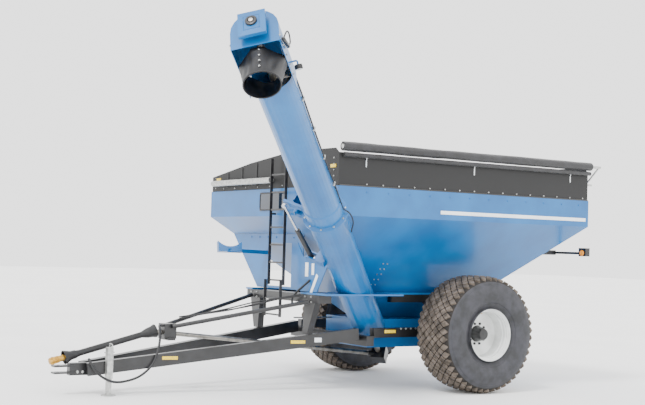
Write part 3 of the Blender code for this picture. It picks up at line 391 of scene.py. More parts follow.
def along_frame(place, along, z_hint=Z):
    """A place whose X runs along a direction and whose Z is as near as possible to a hint."""
    ex = Vector(along).normalized()
    ey = Vector(z_hint).cross(ex).normalized()
    made = Matrix((ex, ey, ex.cross(ey))).transposed().to_4x4()
    made.translation = place
    return made


def copies(pattern, frames, name, finish, body="cart", smooth=35):
    """One piece made of a pattern copied to many places."""
    shape = bmesh.new()
    for place in frames:
        before = len(shape.verts)
        shape.from_mesh(pattern.data)
        shape.verts.ensure_lookup_table()
        bmesh.ops.transform(shape, matrix=place, verts=shape.verts[before:])
    mesh = bpy.data.meshes.new(name)
    shape.to_mesh(mesh)
    shape.free()
    for material in pattern.data.materials:
        mesh.materials.append(material)
    made = bpy.data.objects.new(name, mesh)
    bpy.context.scene.collection.objects.link(made)
    return settle(made, name, finish, body, smooth)


def block(low, high, edge=0.004, place=None):
    """A rectangular piece with its edges broken, given in its place's frame."""
    clear_pick()
    low, high = Vector(low), Vector(high)
    bpy.ops.mesh.primitive_cube_add(size=1, location=(low + high) / 2, scale=high - low)
    made = bpy.context.object
    bpy.ops.object.transform_apply(location=True, rotation=True, scale=True)
    bpy.ops.object.mode_set(mode="EDIT")
    bpy.ops.mesh.select_all(action="SELECT")
    bpy.ops.mesh.bevel(offset=edge, segments=2, affect="EDGES")
    leave_edit()
    if place is not None:
        made.matrix_world = place
    return made


def bar(start, end, radius, edge=0.003, sides=20):
    """A round bar between two points with its end edges broken."""
    clear_pick()
    start, end = Vector(start), Vector(end)
    reach = end - start
    bpy.ops.mesh.primitive_cylinder_add(vertices=sides, radius=radius, depth=reach.length)
    made = bpy.context.object
    pick(made, lambda middle, facing: abs(facing.z) > 0.9)
    bpy.ops.mesh.bevel(offset=min(edge, radius * 0.4), segments=2, affect="EDGES")
    leave_edit()
    made.matrix_world = facing_frame((start + end) / 2, reach)
    return made


def merged(pieces):
    """Join several pieces into one object."""
    clear_pick()
    for piece in pieces:
        piece.select_set(True)
    bpy.context.view_layer.objects.active = pieces[0]
    bpy.ops.object.join()
    return bpy.context.object


def tube(points, radius, smooth_steps=5, sides=3):
    """A bent round tube through points, as a mesh; smooth_steps rounds the route between them."""
    clear_pick()
    route = bent_route(points, smooth_steps) if smooth_steps else [Vector(p) for p in points]
    line = bpy.data.curves.new("tube", "CURVE")
    line.dimensions = "3D"
    line.bevel_depth = radius
    line.bevel_resolution = sides
    line.use_fill_caps = True
    spline = line.splines.new("POLY")
    spline.points.add(len(route) - 1)
    for knot, place in zip(spline.points, route):
        knot.co = (*place, 1)
    made = bpy.data.objects.new("tube", line)
    bpy.context.scene.collection.objects.link(made)
    bpy.context.view_layer.objects.active = made
    made.select_set(True)
    bpy.ops.object.convert(target="MESH")
    return bpy.context.object


def bent_route(points, steps):
    """Points along a smooth curve through the route's own points."""
    knots = [Vector(p) for p in points]
    knots = [2 * knots[0] - knots[1], *knots, 2 * knots[-1] - knots[-2]]
    route = []
    for a, b, c, d in zip(knots, knots[1:], knots[2:], knots[3:]):
        for i in range(steps):
            t = i / steps
            route.append(0.5 * ((2 * b) + (c - a) * t + (2 * a - 5 * b + 4 * c - d) * t ** 2
                                + (3 * b - a - 3 * c + d) * t ** 3))
    route.append(knots[-2])
    return route


# %% [markdown]
# A cart is held together by hundreds of flanged hexagon bolts. One is modelled, head, flange and domed top, and
# every row of bolts below is copies of it.

# %% The bolt
clear_pick()
bpy.ops.mesh.primitive_cylinder_add(vertices=6, radius=0.014, depth=0.012, location=(0, 0, 0.009))
bolt = bpy.context.object
bpy.ops.object.transform_apply(location=True, rotation=True, scale=True)
pick(bolt, lambda middle, facing: facing.z > 0.9)
bpy.ops.mesh.inset(thickness=0.003, depth=0.002)
pick(bolt, lambda middle, facing: facing.z < -0.9)
bpy.ops.mesh.inset(thickness=0.0005, depth=0)
bpy.ops.transform.resize(value=(1.35, 1.35, 1))
bpy.ops.mesh.extrude_region_move(TRANSFORM_OT_translate={"value": (0, 0, -0.004)})
leave_edit()
PATTERNS = [bolt]
print("bolt faces", len(bolt.data.polygons))


# %% [markdown]
# ## Wheels
# The tyres are 35.5L-32 class flotation tyres: nearly as wide as the wheel is tall on the inside, with rows of
# low diamond pads in place of deep bars, so they float over soft fields. A torus primitive has its rings in
# order, so its cross-section can be moved onto a real tyre section point by point; then one pad is modelled and
# copied around the tread, each row half a pad behind the next.

# %% Rings of any section
def wheel_frame(side):
    """X out of the wheel, at the middle of the tyre."""
    low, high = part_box(side + "_tyre")
    return along_frame((low + high) / 2, Y if side == "left" else -Y)


def closed_route(points, steps):
    """A smooth closed loop through points."""
    route = []
    count = len(points)
    for i in range(count):
        a, b, c, d = (Vector(points[(i + k - 1) % count]) for k in range(4))
        for j in range(steps):
            t = j / steps
            route.append(0.5 * ((2 * b) + (c - a) * t + (2 * a - 5 * b + 4 * c - d) * t ** 2
                                + (3 * b - a - 3 * c + d) * t ** 3))
    return route


def ring_of(section, place, around=96):
    """A torus whose cross-section is moved onto a closed list of (out, radius) points."""
    clear_pick()
    bpy.ops.mesh.primitive_torus_add(major_segments=around, minor_segments=len(section),
                                     major_radius=0.6, minor_radius=0.2)
    made = bpy.context.object
    for index, vertex in enumerate(made.data.vertices):
        angle = 2 * math.pi * (index // len(section)) / around
        out, radius = section[index % len(section)]
        vertex.co = (out, radius * math.cos(angle), radius * math.sin(angle))
    pick(made, lambda middle, facing: True)
    bpy.ops.mesh.normals_make_consistent(inside=False)
    leave_edit()
    made.matrix_world = place
    return made


TREAD_DEPTH = 0.028
TYRE_HALF = [(0.0, 0.917), (0.16, 0.915), (0.27, 0.905), (0.335, 0.888), (0.378, 0.855), (0.396, 0.815),
             (0.402, 0.806), (0.413, 0.795), (0.431, 0.72), (0.434, 0.66), (0.430, 0.60), (0.421, 0.555),
             (0.409, 0.522), (0.398, 0.515), (0.392, 0.50), (0.378, 0.47), (0.369, 0.445), (0.366, 0.4085)]
tyre_section = closed_route(TYRE_HALF + [(-out, radius) for out, radius in reversed(TYRE_HALF[1:])], 2)
print("tyre section points", len(tyre_section))

# %% The tread pad
clear_pick()
PAD_WIDE, PAD_LONG = 0.067, 0.056
bpy.ops.mesh.primitive_cylinder_add(vertices=4, radius=1, depth=TREAD_DEPTH + 0.012)
pad = bpy.context.object
pad.scale = (PAD_LONG, PAD_WIDE, 1)
bpy.ops.object.transform_apply(location=True, rotation=True, scale=True)
pick(pad, lambda middle, facing: abs(facing.z) > 0.9, "EDGE")
bpy.ops.mesh.bevel(offset=0.010, segments=1, affect="EDGES")
pick(pad, lambda middle, facing: facing.z > 0.9)
bpy.ops.mesh.inset(thickness=0.004, depth=0)
bpy.ops.transform.translate(value=(0, 0, 0.003))
leave_edit()
PATTERNS.append(pad)
print("pad faces", len(pad.data.polygons))

# %% Tyres
PADS_AROUND = 46
PAD_COLUMNS = 9
COLUMN_STEP = 0.0785


def crown(out):
    """Radius and slope of the bare tread at a distance from its middle."""
    out = abs(out)
    for (a, ra), (b, rb) in zip(TYRE_HALF, TYRE_HALF[1:]):
        if a <= out <= b:
            return ra + (rb - ra) * (out - a) / (b - a), (rb - ra) / (b - a)
    return TYRE_HALF[4][1], -1.0


for side in ("left", "right"):
    place = wheel_frame(side)
    carcass = ring_of(tyre_section, place, 120)
    carcass.data.materials.append(side_rubber)
    carcass.data.materials.append(groove_rubber)
    for face in carcass.data.polygons:
        middle = face.center
        reach = math.hypot(middle.y, middle.z)
        face.material_index = 1 if reach > 0.862 and abs(middle.x) < 0.372 else 0
    settle(carcass, side + "_tyre_carcass", side_rubber, side + "_wheel", smooth=40)
    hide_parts(side + "_tyre")
    frames = []
    for column in range(PAD_COLUMNS):
        out = (column - (PAD_COLUMNS - 1) / 2) * COLUMN_STEP
        radius, slope = crown(out)
        tilt = math.atan(slope) * (1 if out > 0 else -1)
        for i in range(PADS_AROUND):
            angle = 2 * math.pi * (i + 0.5 * (column % 2)) / PADS_AROUND
            spot = Matrix.Rotation(angle, 4, "X") @ Matrix.Translation((out, 0, radius + TREAD_DEPTH / 2 - 0.009))
            frames.append(place @ spot @ Matrix.Rotation(-tilt, 4, "Y") @ Matrix.Rotation(math.pi / 2, 4, "Z"))
    copies(pad, frames, side + "_tread_pads", tread_rubber, side + "_wheel")

# %% [markdown]
# The rims are rolled from plate: a turned-out lip, two steps where the bead sits, a deep barrel, and a disc welded
# in far from the face. The same ring helper makes them, and ten nuts and a valve follow.

# %% Rims
RIM = [(0.384, 0.434), (0.392, 0.432), (0.395, 0.424), (0.388, 0.410), (0.371, 0.402), (0.352, 0.399),
       (0.346, 0.391), (0.316, 0.388), (0.309, 0.379), (0.255, 0.375), (0.247, 0.3655), (0.13, 0.361), (0.075, 0.358),
       (0.071, 0.350), (0.062, 0.300), (0.052, 0.245), (0.050, 0.205), (0.050, 0.135), (0.040, 0.131),
       (0.034, 0.135), (0.034, 0.245), (0.044, 0.30), (0.052, 0.352), (0.045, 0.384), (-0.10, 0.386),
       (-0.25, 0.390), (-0.34, 0.400), (-0.371, 0.404), (-0.388, 0.412), (-0.395, 0.424), (-0.392, 0.432),
       (-0.384, 0.434), (-0.372, 0.432), (-0.371, 0.4065), (0.371, 0.4065), (0.372, 0.432)]
for side in ("left", "right"):
    place = wheel_frame(side)
    rim = ring_of(RIM, place, 96)
    settle(rim, side + "_rim_barrel", wheel_enamel, side + "_wheel", smooth=28)
    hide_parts(side + "_rim")
    nuts = []
    for i in range(10):
        turn = Matrix.Rotation(2 * math.pi * (i + 0.5) / 10, 4, "X")
        nuts.append(place @ turn @ facing_frame((0.052, 0, 0.168), X, 1.25))
    copies(bolt, nuts, side + "_wheel_nuts", black_enamel, side + "_wheel")
    valve = bar(place @ Vector((0.10, 0.0, 0.352)), place @ Vector((0.165, 0.0, 0.330)), 0.008)
    settle(valve, side + "_valve", brass_yellow, side + "_wheel")

# %% [markdown]
# ## The hydraulic hose
# One hose hangs free between the hitch and the driveline stand, in a low bow so the tongue can turn. It is two
# layers of wire-braided rubber, made here as a round tube along a smooth route.

# %% Hose
HOSE_RADIUS = 0.018
HOSE_ROUTE = [(5.95, 0.13, 0.492), (5.99, 0.17, 0.53), (6.00, 0.24, 0.50), (5.93, 0.33, 0.35), (5.77, 0.39, 0.235),
              (5.58, 0.41, 0.205), (5.31, 0.42, 0.27), (5.11, 0.42, 0.42), (5.01, 0.41, 0.61), (4.94, 0.34, 0.81),
              (4.89, 0.22, 0.95), (4.83, 0.07, 1.0), (4.765, 0.07, 1.0)]
hose_line = bent_route([at(*place) for place in HOSE_ROUTE], 6)
hose = settle(tube([at(*place) for place in HOSE_ROUTE], HOSE_RADIUS, 6, 4), "free_hose", moulded_rubber,
              smooth=60)
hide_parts("hydraulic_hose")

# %% [markdown]
# ## The auger's own directions
# The tube leans out of the front left corner, so its bolts, straps and brackets are placed in its own frame: X
# up the tube from the joint flange, Z away from the ground. The head is turned a little about the same line.

# %% Auger frames
joints = {joint["name"]: joint for joint in frame["joints"]}
FLANGE = Vector(joints["upper_flighting_spin"]["pos_m"])
ALONG = Vector(joints["upper_flighting_spin"]["axis"]).normalized()
HINGE = Vector(joints["auger_fold"]["pos_m"])
HINGE_LINE = Vector(joints["auger_fold"]["axis"]).normalized()
AUGER = along_frame(FLANGE, ALONG)
HEAD = AUGER @ Matrix.Rotation(math.radians(15), 4, "X")
head_seen = [HEAD.inverted() @ (NODES["discharge_hood"].matrix_world @ v.co)
             for v in NODES["discharge_hood"].data.vertices]
HEAD_END = max(place.x for place in head_seen)
HEAD_TOP = max(place.z for place in head_seen)
HEAD_DROP = min(place.z for place in head_seen)
HEAD_HALF = max(abs(place.y) for place in head_seen)
print("head", round(HEAD_END, 3), round(HEAD_TOP, 3), round(HEAD_DROP, 3), round(HEAD_HALF, 3))


def spot(place, x, y, z):
    """A point of a frame as a point of the row."""
    return place @ Vector((x, y, z))


def turned_to(place, direction):
    """A frame's own direction as one of the row's."""
    return (place.to_3x3() @ Vector(direction)).normalized()


# %% [markdown]
# The two tubes meet at plate flanges that swing apart on the hinge. Ten bolts stand on each ring's outer face.

# %% Flange bolts
FLANGE_BOLT_RING = 0.302
for sign, body, name in ((1, "upper_auger", "upper_flange_bolts"), (-1, "cart", "lower_flange_bolts")):
    ring = []
    for i in range(10):
        angle = 2 * math.pi * (i + 0.5) / 10
        centre = spot(AUGER, sign * 0.0155, FLANGE_BOLT_RING * math.cos(angle), FLANGE_BOLT_RING * math.sin(angle))
        ring.append(facing_frame(centre, sign * ALONG, 1.15))
    copies(bolt, ring, name, zinc_plate, body)

# %% [markdown]
# The hinge leaf stands out from the flange toward the hopper, and five bolts run down it.

# %% Hinge leaf and bolts
hinge_reach = (HINGE - FLANGE) - (HINGE - FLANGE).dot(ALONG) * ALONG
OUTWARD = hinge_reach.normalized()
leaf_place = along_frame(HINGE + 0.11 * ALONG - 0.005 * OUTWARD, ALONG, OUTWARD)
leaf = block((-0.05, -0.12, -0.006), (0.16, 0.12, 0.006), 0.003, leaf_place)
settle(leaf, "hinge_leaf", blue_enamel, "upper_auger")
leaf_bolts = [leaf_place @ Matrix.Translation((0.03 + 0.05 * (i % 2), -0.09 + 0.045 * i, 0.0065))
              for i in range(5)]
copies(bolt, leaf_bolts, "hinge_bolts", black_enamel, "upper_auger")

# %% [markdown]
# ## The discharge head
# The bearing at the tube's upper end sits in a pressed box bolted to the arched end plate: a trapezoid with six
# bolts, and a flanged ball bearing in its middle. The box is an extruded plate with its front drawn in.

# %% Bearing box
clear_pick()
box_place = along_frame(spot(HEAD, HEAD_END, 0, 0.0), turned_to(HEAD, (1, 0, 0)), turned_to(HEAD, (0, 0, 1)))
cover = block((-0.002, -0.17, -0.21), (0.055, 0.17, 0.17), 0.004)
pick(cover, lambda middle, facing: facing.x > 0.9 and middle.x > 0.05)
bpy.ops.transform.resize(value=(1, 0.62, 0.60))
bpy.ops.mesh.inset(thickness=0.012, depth=0.004)
leave_edit()
cover.matrix_world = box_place
settle(cover, "bearing_box", blue_enamel, "upper_auger")
ring_bolts = [facing_frame(spot(box_place, 0.014, y, z), turned_to(HEAD, (1, 0, 0)))
              for y in (-0.152, 0.152) for z in (-0.16, -0.02, 0.12)]
copies(bolt, ring_bolts, "bearing_box_bolts", zinc_plate, "upper_auger")

# %% [markdown]
# The bearing itself is cast iron, turned and painted black, with the bright shaft end and its lock nut inside.

# %% Head bearing
HEAD_OUT = turned_to(HEAD, (1, 0, 0))
housing = bar(spot(box_place, 0.045, 0, -0.005), spot(box_place, 0.085, 0, -0.005), 0.074, 0.010, 32)
pick(housing, lambda middle, facing: facing.z > 0.95 and middle.z > 0)
bpy.ops.mesh.inset(thickness=0.020, depth=0)
bpy.ops.mesh.inset(thickness=0.004, depth=-0.014)
leave_edit()
settle(housing, "head_bearing", black_enamel, "upper_auger")
shaft_end = bar(spot(box_place, 0.05, 0, -0.005), spot(box_place, 0.092, 0, -0.005), 0.030, 0.006, 24)
settle(shaft_end, "head_shaft_end", zinc_plate, "upper_auger")

# %% [markdown]
# A row of small bolts holds the side skirts of the head.

# %% Head rim bolts
skirt = []
for i in range(5):
    x = HEAD_END - 0.07 - 0.17 * i
    for sign in (1, -1):
        skirt.append(facing_frame(spot(HEAD, x, sign * (HEAD_HALF + 0.0005), -0.20),
                                  turned_to(HEAD, (0, sign, 0)), 0.8))
copies(bolt, skirt, "skirt_bolts", zinc_plate, "upper_auger")

# %% [markdown]
# ## The boot
# The spout is a moulded rubber boot, square at the top where it bolts to the head and round at the mouth. It is
# a tapered tube whose rings blend from one outline to the other, with folds that run from the upper corners down
# to the mouth, and a thick lip that keeps the mouth open.

# %% Spout boot
spout_seen = [HEAD.inverted() @ (NODES["spout"].matrix_world @ v.co) for v in NODES["spout"].data.vertices]
top_z = max(place.z for place in spout_seen)
mouth_z = min(place.z for place in spout_seen)
top_ring = [place for place in spout_seen if place.z > top_z - 0.01]
mouth_ring = [place for place in spout_seen if place.z < mouth_z + 0.01]


def ring_size(ring, axis):
    """Middle and half width of a ring of points along one axis of the head."""
    low, high = min(place[axis] for place in ring), max(place[axis] for place in ring)
    return (low + high) / 2, (high - low) / 2


(top_x, top_wide), (_, top_deep) = ring_size(top_ring, 0), ring_size(top_ring, 1)
(mouth_x, mouth_wide), (_, mouth_deep) = ring_size(mouth_ring, 0), ring_size(mouth_ring, 1)
AROUND, DOWN = 72, 22
clear_pick()
bpy.ops.mesh.primitive_cylinder_add(vertices=AROUND, radius=1, depth=1, end_fill_type="NOTHING")
boot = bpy.context.object
pick(boot, lambda middle, facing: abs(facing.z) > 0.9, "EDGE")
bpy.ops.mesh.subdivide(number_cuts=DOWN)
leave_edit()
for vertex in boot.data.vertices:
    share = 0.5 - vertex.co.z
    angle = math.atan2(vertex.co.y, vertex.co.x)
    blend = min(1.0, max(0.0, (share - 0.08) / 0.84)) ** 0.8
    c, s = math.cos(angle), math.sin(angle)
    square = 1 / max(abs(c), abs(s), 0.86 * (abs(c) + abs(s)) / 1.06)
    fold_depth = 0.016 * math.sin(math.pi * share) * max(0, math.cos(4 * angle + math.pi)) ** 2
    crease = 0.006 * math.sin(math.pi * share) * math.sin(9 * angle + 6 * share)
    x = top_x * (1 - share) + mouth_x * share
    wide = (top_wide * square * (1 - blend) + mouth_wide * blend)
    deep = (top_deep * square * (1 - blend) + mouth_deep * blend)
    vertex.co = (x + (wide - fold_depth + crease) * c, (deep - fold_depth + crease) * s,
                 top_z + (mouth_z - top_z) * share)
shell = boot.modifiers.new("thickness", "SOLIDIFY")
shell.thickness = 0.008
shell.offset = -1
boot.matrix_world = HEAD
settle(boot, "spout_boot", moulded_rubber, "spout_body", smooth=60)
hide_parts("spout")
lip = ring_of([(-0.009, mouth_wide - 0.010), (0.004, mouth_wide - 0.010),
               (0.004, mouth_wide + 0.006), (-0.009, mouth_wide + 0.006)],
              HEAD @ Matrix.Translation((mouth_x, 0, mouth_z + 0.006))
              @ Matrix.Rotation(math.pi / 2, 4, "Y"), 64)
settle(lip, "mouth_lip", moulded_rubber, "spout_body")
seam = []
for i in range(4):
    share = 0.12 + 0.22 * i
    x = top_x * (1 - share) + mouth_x * share
    wide = top_wide * (1 - share) + mouth_wide * share
    seam.append(facing_frame(spot(HEAD, x + wide + 0.002, 0.03, top_z + (mouth_z - top_z) * share), HEAD_OUT, 0.75))
copies(bolt, seam, "boot_seam_bolts", zinc_plate, "spout_body", smooth=35)

# %% [markdown]
# ## The rolled cover
# The cover is coated cloth wound on a pipe along the hopper's left edge. The cloth is one long strip, so it is
# modelled as one: a grid wound into a spiral, each turn a little outside the last, with soft wrinkles that follow
# the roll and deepen toward the outside. Wound this way its area stays that of the flat cloth.

# %% Rolled cover
roll_low, roll_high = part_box("tarp_roll")
ROLL_MIDDLE = (roll_low + roll_high) / 2
ROLL_REACH = min(roll_high.y - roll_low.y, roll_high.z - roll_low.z) / 2
ROLL_LENGTH = roll_high.x - roll_low.x
TURNS, INSIDE = 11, 0.045
STEPS = TURNS * 24
clear_pick()
bpy.ops.mesh.primitive_grid_add(x_subdivisions=48, y_subdivisions=STEPS, size=1)
cover = bpy.context.object
for vertex in cover.data.vertices:
    along, wound = vertex.co.x + 0.5, vertex.co.y + 0.5
    angle = 2 * math.pi * TURNS * wound
    reach = INSIDE + (ROLL_REACH - 0.016 - INSIDE) * wound
    turn_x = along * ROLL_LENGTH
    wrinkle = noise.noise(Vector((turn_x * 1.6, 2.2 * math.cos(angle), 2.2 * math.sin(angle))))
    fine = noise.noise(Vector((turn_x * 4.5, 5 * math.cos(angle), 5 * math.sin(angle) + 9)))
    reach += wound ** 2 * (0.009 * wrinkle + 0.004 * fine)
    vertex.co = (roll_low.x + 0.012 + along * (ROLL_LENGTH - 0.024), ROLL_MIDDLE.y + reach * math.cos(angle + 2.4),
                 ROLL_MIDDLE.z + reach * math.sin(angle + 2.4))
skin = cover.modifiers.new("cloth", "SOLIDIFY")
skin.thickness = 0.0016
skin.offset = 0
settle(cover, "rolled_cover", cover_cloth, smooth=60)
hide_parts("tarp_roll")
core = bar((roll_low.x + 0.004, ROLL_MIDDLE.y, ROLL_MIDDLE.z), (roll_high.x - 0.004, ROLL_MIDDLE.y, ROLL_MIDDLE.z),
           0.036, 0.004, 28)
settle(core, "cover_pipe", zinc_plate)

# %% [markdown]
# Pale plastic hooks along the left edge take the roll when it is open, so the wind cannot lift it.

# %% Cover hooks
hooks = []
for x in (2.42, 0.31, -1.80):
    hooks.append(tube([at(x, 2.036, 3.60), at(x, 2.052, 3.66), at(x, 2.075, 3.70)], 0.007, 4))
    hooks.append(tube([at(x, 2.034, 3.60), at(x, 2.034, 3.50)], 0.009, 2))
settle(merged(hooks), "cover_hooks", white_vinyl)

# %% [markdown]
# ## Bolts and straps of the body
# Bolts are placed by dropping a line onto a CAD face and standing the bolt on whatever it meets, so they follow
# the sheet even where it slopes.

# %% Landing helper
bpy.context.view_layer.update()


def landing(name, start, aim, size=1.0):
    """A bolt's place where a line from a point first meets a CAD node."""
    solid = NODES[name]
    back = solid.matrix_world.inverted()
    found, place, facing, _ = solid.ray_cast(back @ start, (back.to_3x3() @ Vector(aim)).normalized())
    if not found:
        return None
    normal = (solid.matrix_world.to_3x3() @ facing).normalized()
    return facing_frame(solid.matrix_world @ place + 0.001 * normal, normal, size)


def bolt_rows(name, rows, label, finish, size=0.8):
    """Bolts on a node from (start, aim) lines."""
    found = [place for place in (landing(name, start, aim, size) for start, aim in rows) if place]
    print(label, len(found), "of", len(rows))
    if found:
        copies(bolt, found, label, finish)


# %% Sideboard bolts
side_x = [2.40 - 0.30 * i for i in range(16)]
bolt_rows("left_sideboard", [(at(x, 3, 3.24), -Y) for x in side_x], "left_sideboard_bolts", zinc_plate, 0.7)
bolt_rows("right_sideboard", [(at(x, -3, 3.24), Y) for x in side_x], "right_sideboard_bolts", zinc_plate, 0.7)
cap_rows = [(at(3.4, y, z), -X) for y in (-1.90, 1.90) for z in (3.26, 3.35, 3.44, 3.53, 3.62)]
cap_rows += [(at(3.4, -1.6 + 0.4 * i, 3.245), -X) for i in range(9)]
bolt_rows("front_end_cap", cap_rows, "front_cap_bolts", zinc_plate, 0.7)
bolt_rows("rear_end_cap", [(place + Vector((-6.4, 0, 0)), X) for place, _ in cap_rows], "rear_cap_bolts",
          zinc_plate, 0.7)

# %% Side panel seam bolts
SLOPE_OUT = Vector((0, 0.71, -0.70)).normalized()


def slope_row(first, last, count):
    """Lines onto the left slope, evenly spaced between two points on it."""
    first, last = at(*first), at(*last)
    return [(first.lerp(last, i / (count - 1)) + 0.25 * SLOPE_OUT, -SLOPE_OUT) for i in range(count)]


bolt_rows("left_side_panel", slope_row((2.546, 1.813, 2.518), (1.737, 1.097, 1.793), 8), "auger_strip_bolts",
          zinc_plate, 0.9)
double_rows = slope_row((1.566, 1.344, 2.043), (1.546, 0.999, 1.695), 5)
double_rows += slope_row((1.486, 1.344, 2.043), (1.466, 0.999, 1.695), 5)
bolt_rows("left_side_panel", double_rows, "slope_seam_bolts", zinc_plate, 0.8)
edge_rows = [(at(2.4 - 0.4 * i, 2.6, 3.12), -Y) for i in range(12)]
bolt_rows("left_side_panel", edge_rows, "left_band_bolts", blue_enamel, 0.6)

# %% [markdown]
# A plain white pinstripe of vinyl film runs along each side of the band.

# %% Stripes
STRIPE_FRONT, STRIPE_REAR = 0.985, -2.166
for name, low_y, high_y in (("left", 2.0505, 2.0525), ("right", -2.0525, -2.0505)):
    stripe = block((STRIPE_REAR, low_y, 2.846), (STRIPE_FRONT, high_y, 2.902), 0.0005, AT_HOME)
    settle(stripe, name + "_stripe", white_vinyl)

# %% Band rails and cap ribs
for sign, name in ((1, "left"), (-1, "right")):
    rail = block((-2.22, min(sign * 2.031, sign * 2.046), 3.185), (2.90, max(sign * 2.031, sign * 2.046), 3.222),
                 0.004, AT_HOME)
    settle(rail, name + "_band_rail", black_enamel)
ribs = []
for y in (-1.45, -0.95, -0.45, 0.05, 0.95, 1.45):
    top = landing("front_end_cap", at(2.905, y, 5.0), -Z)
    if top:
        ribs.append(block((2.9095, y - 0.022, 3.27), (2.918, y + 0.022, top.translation.z - 0.03), 0.003,
                          AT_HOME))
settle(merged(ribs), "front_cap_ribs", powder_coat)

# %% [markdown]
# The window that shows the grain level is a pane in a rounded rubber channel; its dark colour is painted shade, the
# shaded hopper seen through clear glass.

# %% Window frame
window_low, window_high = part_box("sight_window")
centre = (window_low + window_high) / 2
half_y, half_z = (window_high.y - window_low.y) / 2 - 0.012, (window_high.z - window_low.z) / 2 - 0.012
corner_points = []
for cy, cz, start in ((1, 1, 0), (-1, 1, 90), (-1, -1, 180), (1, -1, 270)):
    for k in range(5):
        angle = math.radians(start + 22.5 * k)
        corner_points.append((window_high.x - 0.002, centre.y + cy * (half_y - 0.05) + 0.05 * math.cos(angle),
                              centre.z + cz * (half_z - 0.05) + 0.05 * math.sin(angle)))
corner_points.append(corner_points[0])
gasket = tube(corner_points, 0.012, 0, 3)
settle(gasket, "window_gasket", moulded_rubber)

# %% [markdown]
# ## Reflectors, lamps and warning colours
# Plain yellow, red and amber reflectors stand where the law wants them: on the front corners, along the tongue
# and axle rail, and on the folding arms at the back.

# %% Reflectors
def reflector(name, place, size, finish, normal, length_along):
    """A thin lens on a face, its long side along a direction."""
    made = block((-size[0] / 2, -size[1] / 2, -0.001), (size[0] / 2, size[1] / 2, 0.005), 0.0015)
    ex = (Vector(length_along) - Vector(length_along).dot(normal) * Vector(normal)).normalized()
    ez = Vector(normal).normalized()
    turn = Matrix((ex, ez.cross(ex), ez)).transposed().to_4x4()
    turn.translation = place
    made.matrix_world = turn
    settle(made, name, finish)


BEAM_OUT = Vector((0.19, 0.98, 0)).normalized()
BEAM_SKIN = 0.001 * BEAM_OUT
LENSES = (
    ("front_reflector_right", at(2.9105, -1.80, 3.41), (0.15, 0.05), yellow_lens, X, Y),
    ("front_reflector_left", at(2.9105, 1.88, 3.50), (0.15, 0.05), yellow_lens, X, Y),
    ("rail_reflector", at(1.265, 1.1715, 0.946), (0.22, 0.05), yellow_lens, Y, X),
    ("tongue_reflector_front", at(4.80, 0.4185, 0.539) + BEAM_SKIN, (0.24, 0.05), yellow_lens, BEAM_OUT, X),
    ("tongue_reflector_rear", at(2.784, 0.8105, 0.775) + BEAM_SKIN, (0.24, 0.05), yellow_lens, BEAM_OUT, X),
    ("tongue_label_plain", at(2.453, 0.8755, 0.806) + BEAM_SKIN, (0.12, 0.07), white_vinyl, BEAM_OUT, X),
)
for lens in LENSES:
    reflector(*lens)
for sign, side in ((1, "left"), (-1, "right")):
    for colour, near, far, height, radius, finish in (("amber", -1.975, -1.955, 2.305, 0.048, amber_lens),
                                                      ("red", -2.065, -2.089, 2.325, 0.046, red_lens)):
        lens = bar(at(near, sign * 2.18, height), at(far, sign * 2.18, height), radius, 0.006, 28)
        settle(lens, side + "_" + colour + "_lamp", finish)

# %% [markdown]
# Below the main roll hangs its hem: a second, thinner roll where the cloth wraps the pipe that the crank turns.

# %% Cover hem
clear_pick()
bpy.ops.mesh.primitive_cylinder_add(vertices=32, radius=0.034, depth=1, end_fill_type="NGON")
hem = bpy.context.object
hem_span = ROLL_LENGTH - 0.06
pick(hem, lambda middle, facing: abs(facing.z) > 0.9, "EDGE")
bpy.ops.mesh.subdivide(number_cuts=70)
leave_edit()
for vertex in hem.data.vertices:
    wave = noise.noise(Vector((vertex.co.z * 9, vertex.co.x * 30, vertex.co.y * 30)))
    vertex.co.x *= 1 + 0.10 * wave
    vertex.co.y *= 1 + 0.10 * wave
    vertex.co.z *= hem_span
hem.matrix_world = facing_frame(Vector((ROLL_MIDDLE.x, 0, 0)) + Vector((0, at(0, 2.072, 0).y, 3.668)), X)
settle(hem, "cover_hem", cover_cloth, smooth=60)

# %% [markdown]
# ## Lines and brackets on the auger
# A thin hose runs up the tube's side to the spout's actuator, held by small clamps, and a work lamp on a bent
# bracket lights the load.

# %% Tube hose and clamps
reaches = sorted(math.hypot(p.y, p.z) for p in
                 (AUGER.inverted() @ (NODES["upper_auger_tube"].matrix_world @ v.co)
                  for v in NODES["upper_auger_tube"].data.vertices) if p.x > 2.0)
TUBE_OUT = reaches[-1]
print("tube radius", round(TUBE_OUT, 3))
tube_line = [spot(AUGER, x, TUBE_OUT + 0.016, 0.02 + 0.01 * math.sin(3 * x))
             for x in (0.10, 0.7, 1.3, 1.9, 2.5, 2.9)]
settle(tube(tube_line, 0.010, 5), "tube_hose", moulded_rubber, "upper_auger", smooth=60)
slack = [spot(AUGER, 0.10, TUBE_OUT + 0.016, 0.02), spot(AUGER, 0.02, TUBE_OUT + 0.10, 0.0),
         spot(AUGER, -0.15, TUBE_OUT + 0.12, -0.03), spot(AUGER, -0.42, TUBE_OUT + 0.03, -0.02)]
settle(tube(slack, 0.010, 6), "joint_hose", moulded_rubber, "cart", smooth=60)
clamps = [block((x - 0.012, TUBE_OUT - 0.004, -0.012), (x + 0.012, TUBE_OUT + 0.030, 0.052), 0.003, AUGER)
          for x in (0.7, 1.3, 1.9, 2.5)]
settle(merged(clamps), "hose_clamps", zinc_plate, "upper_auger")

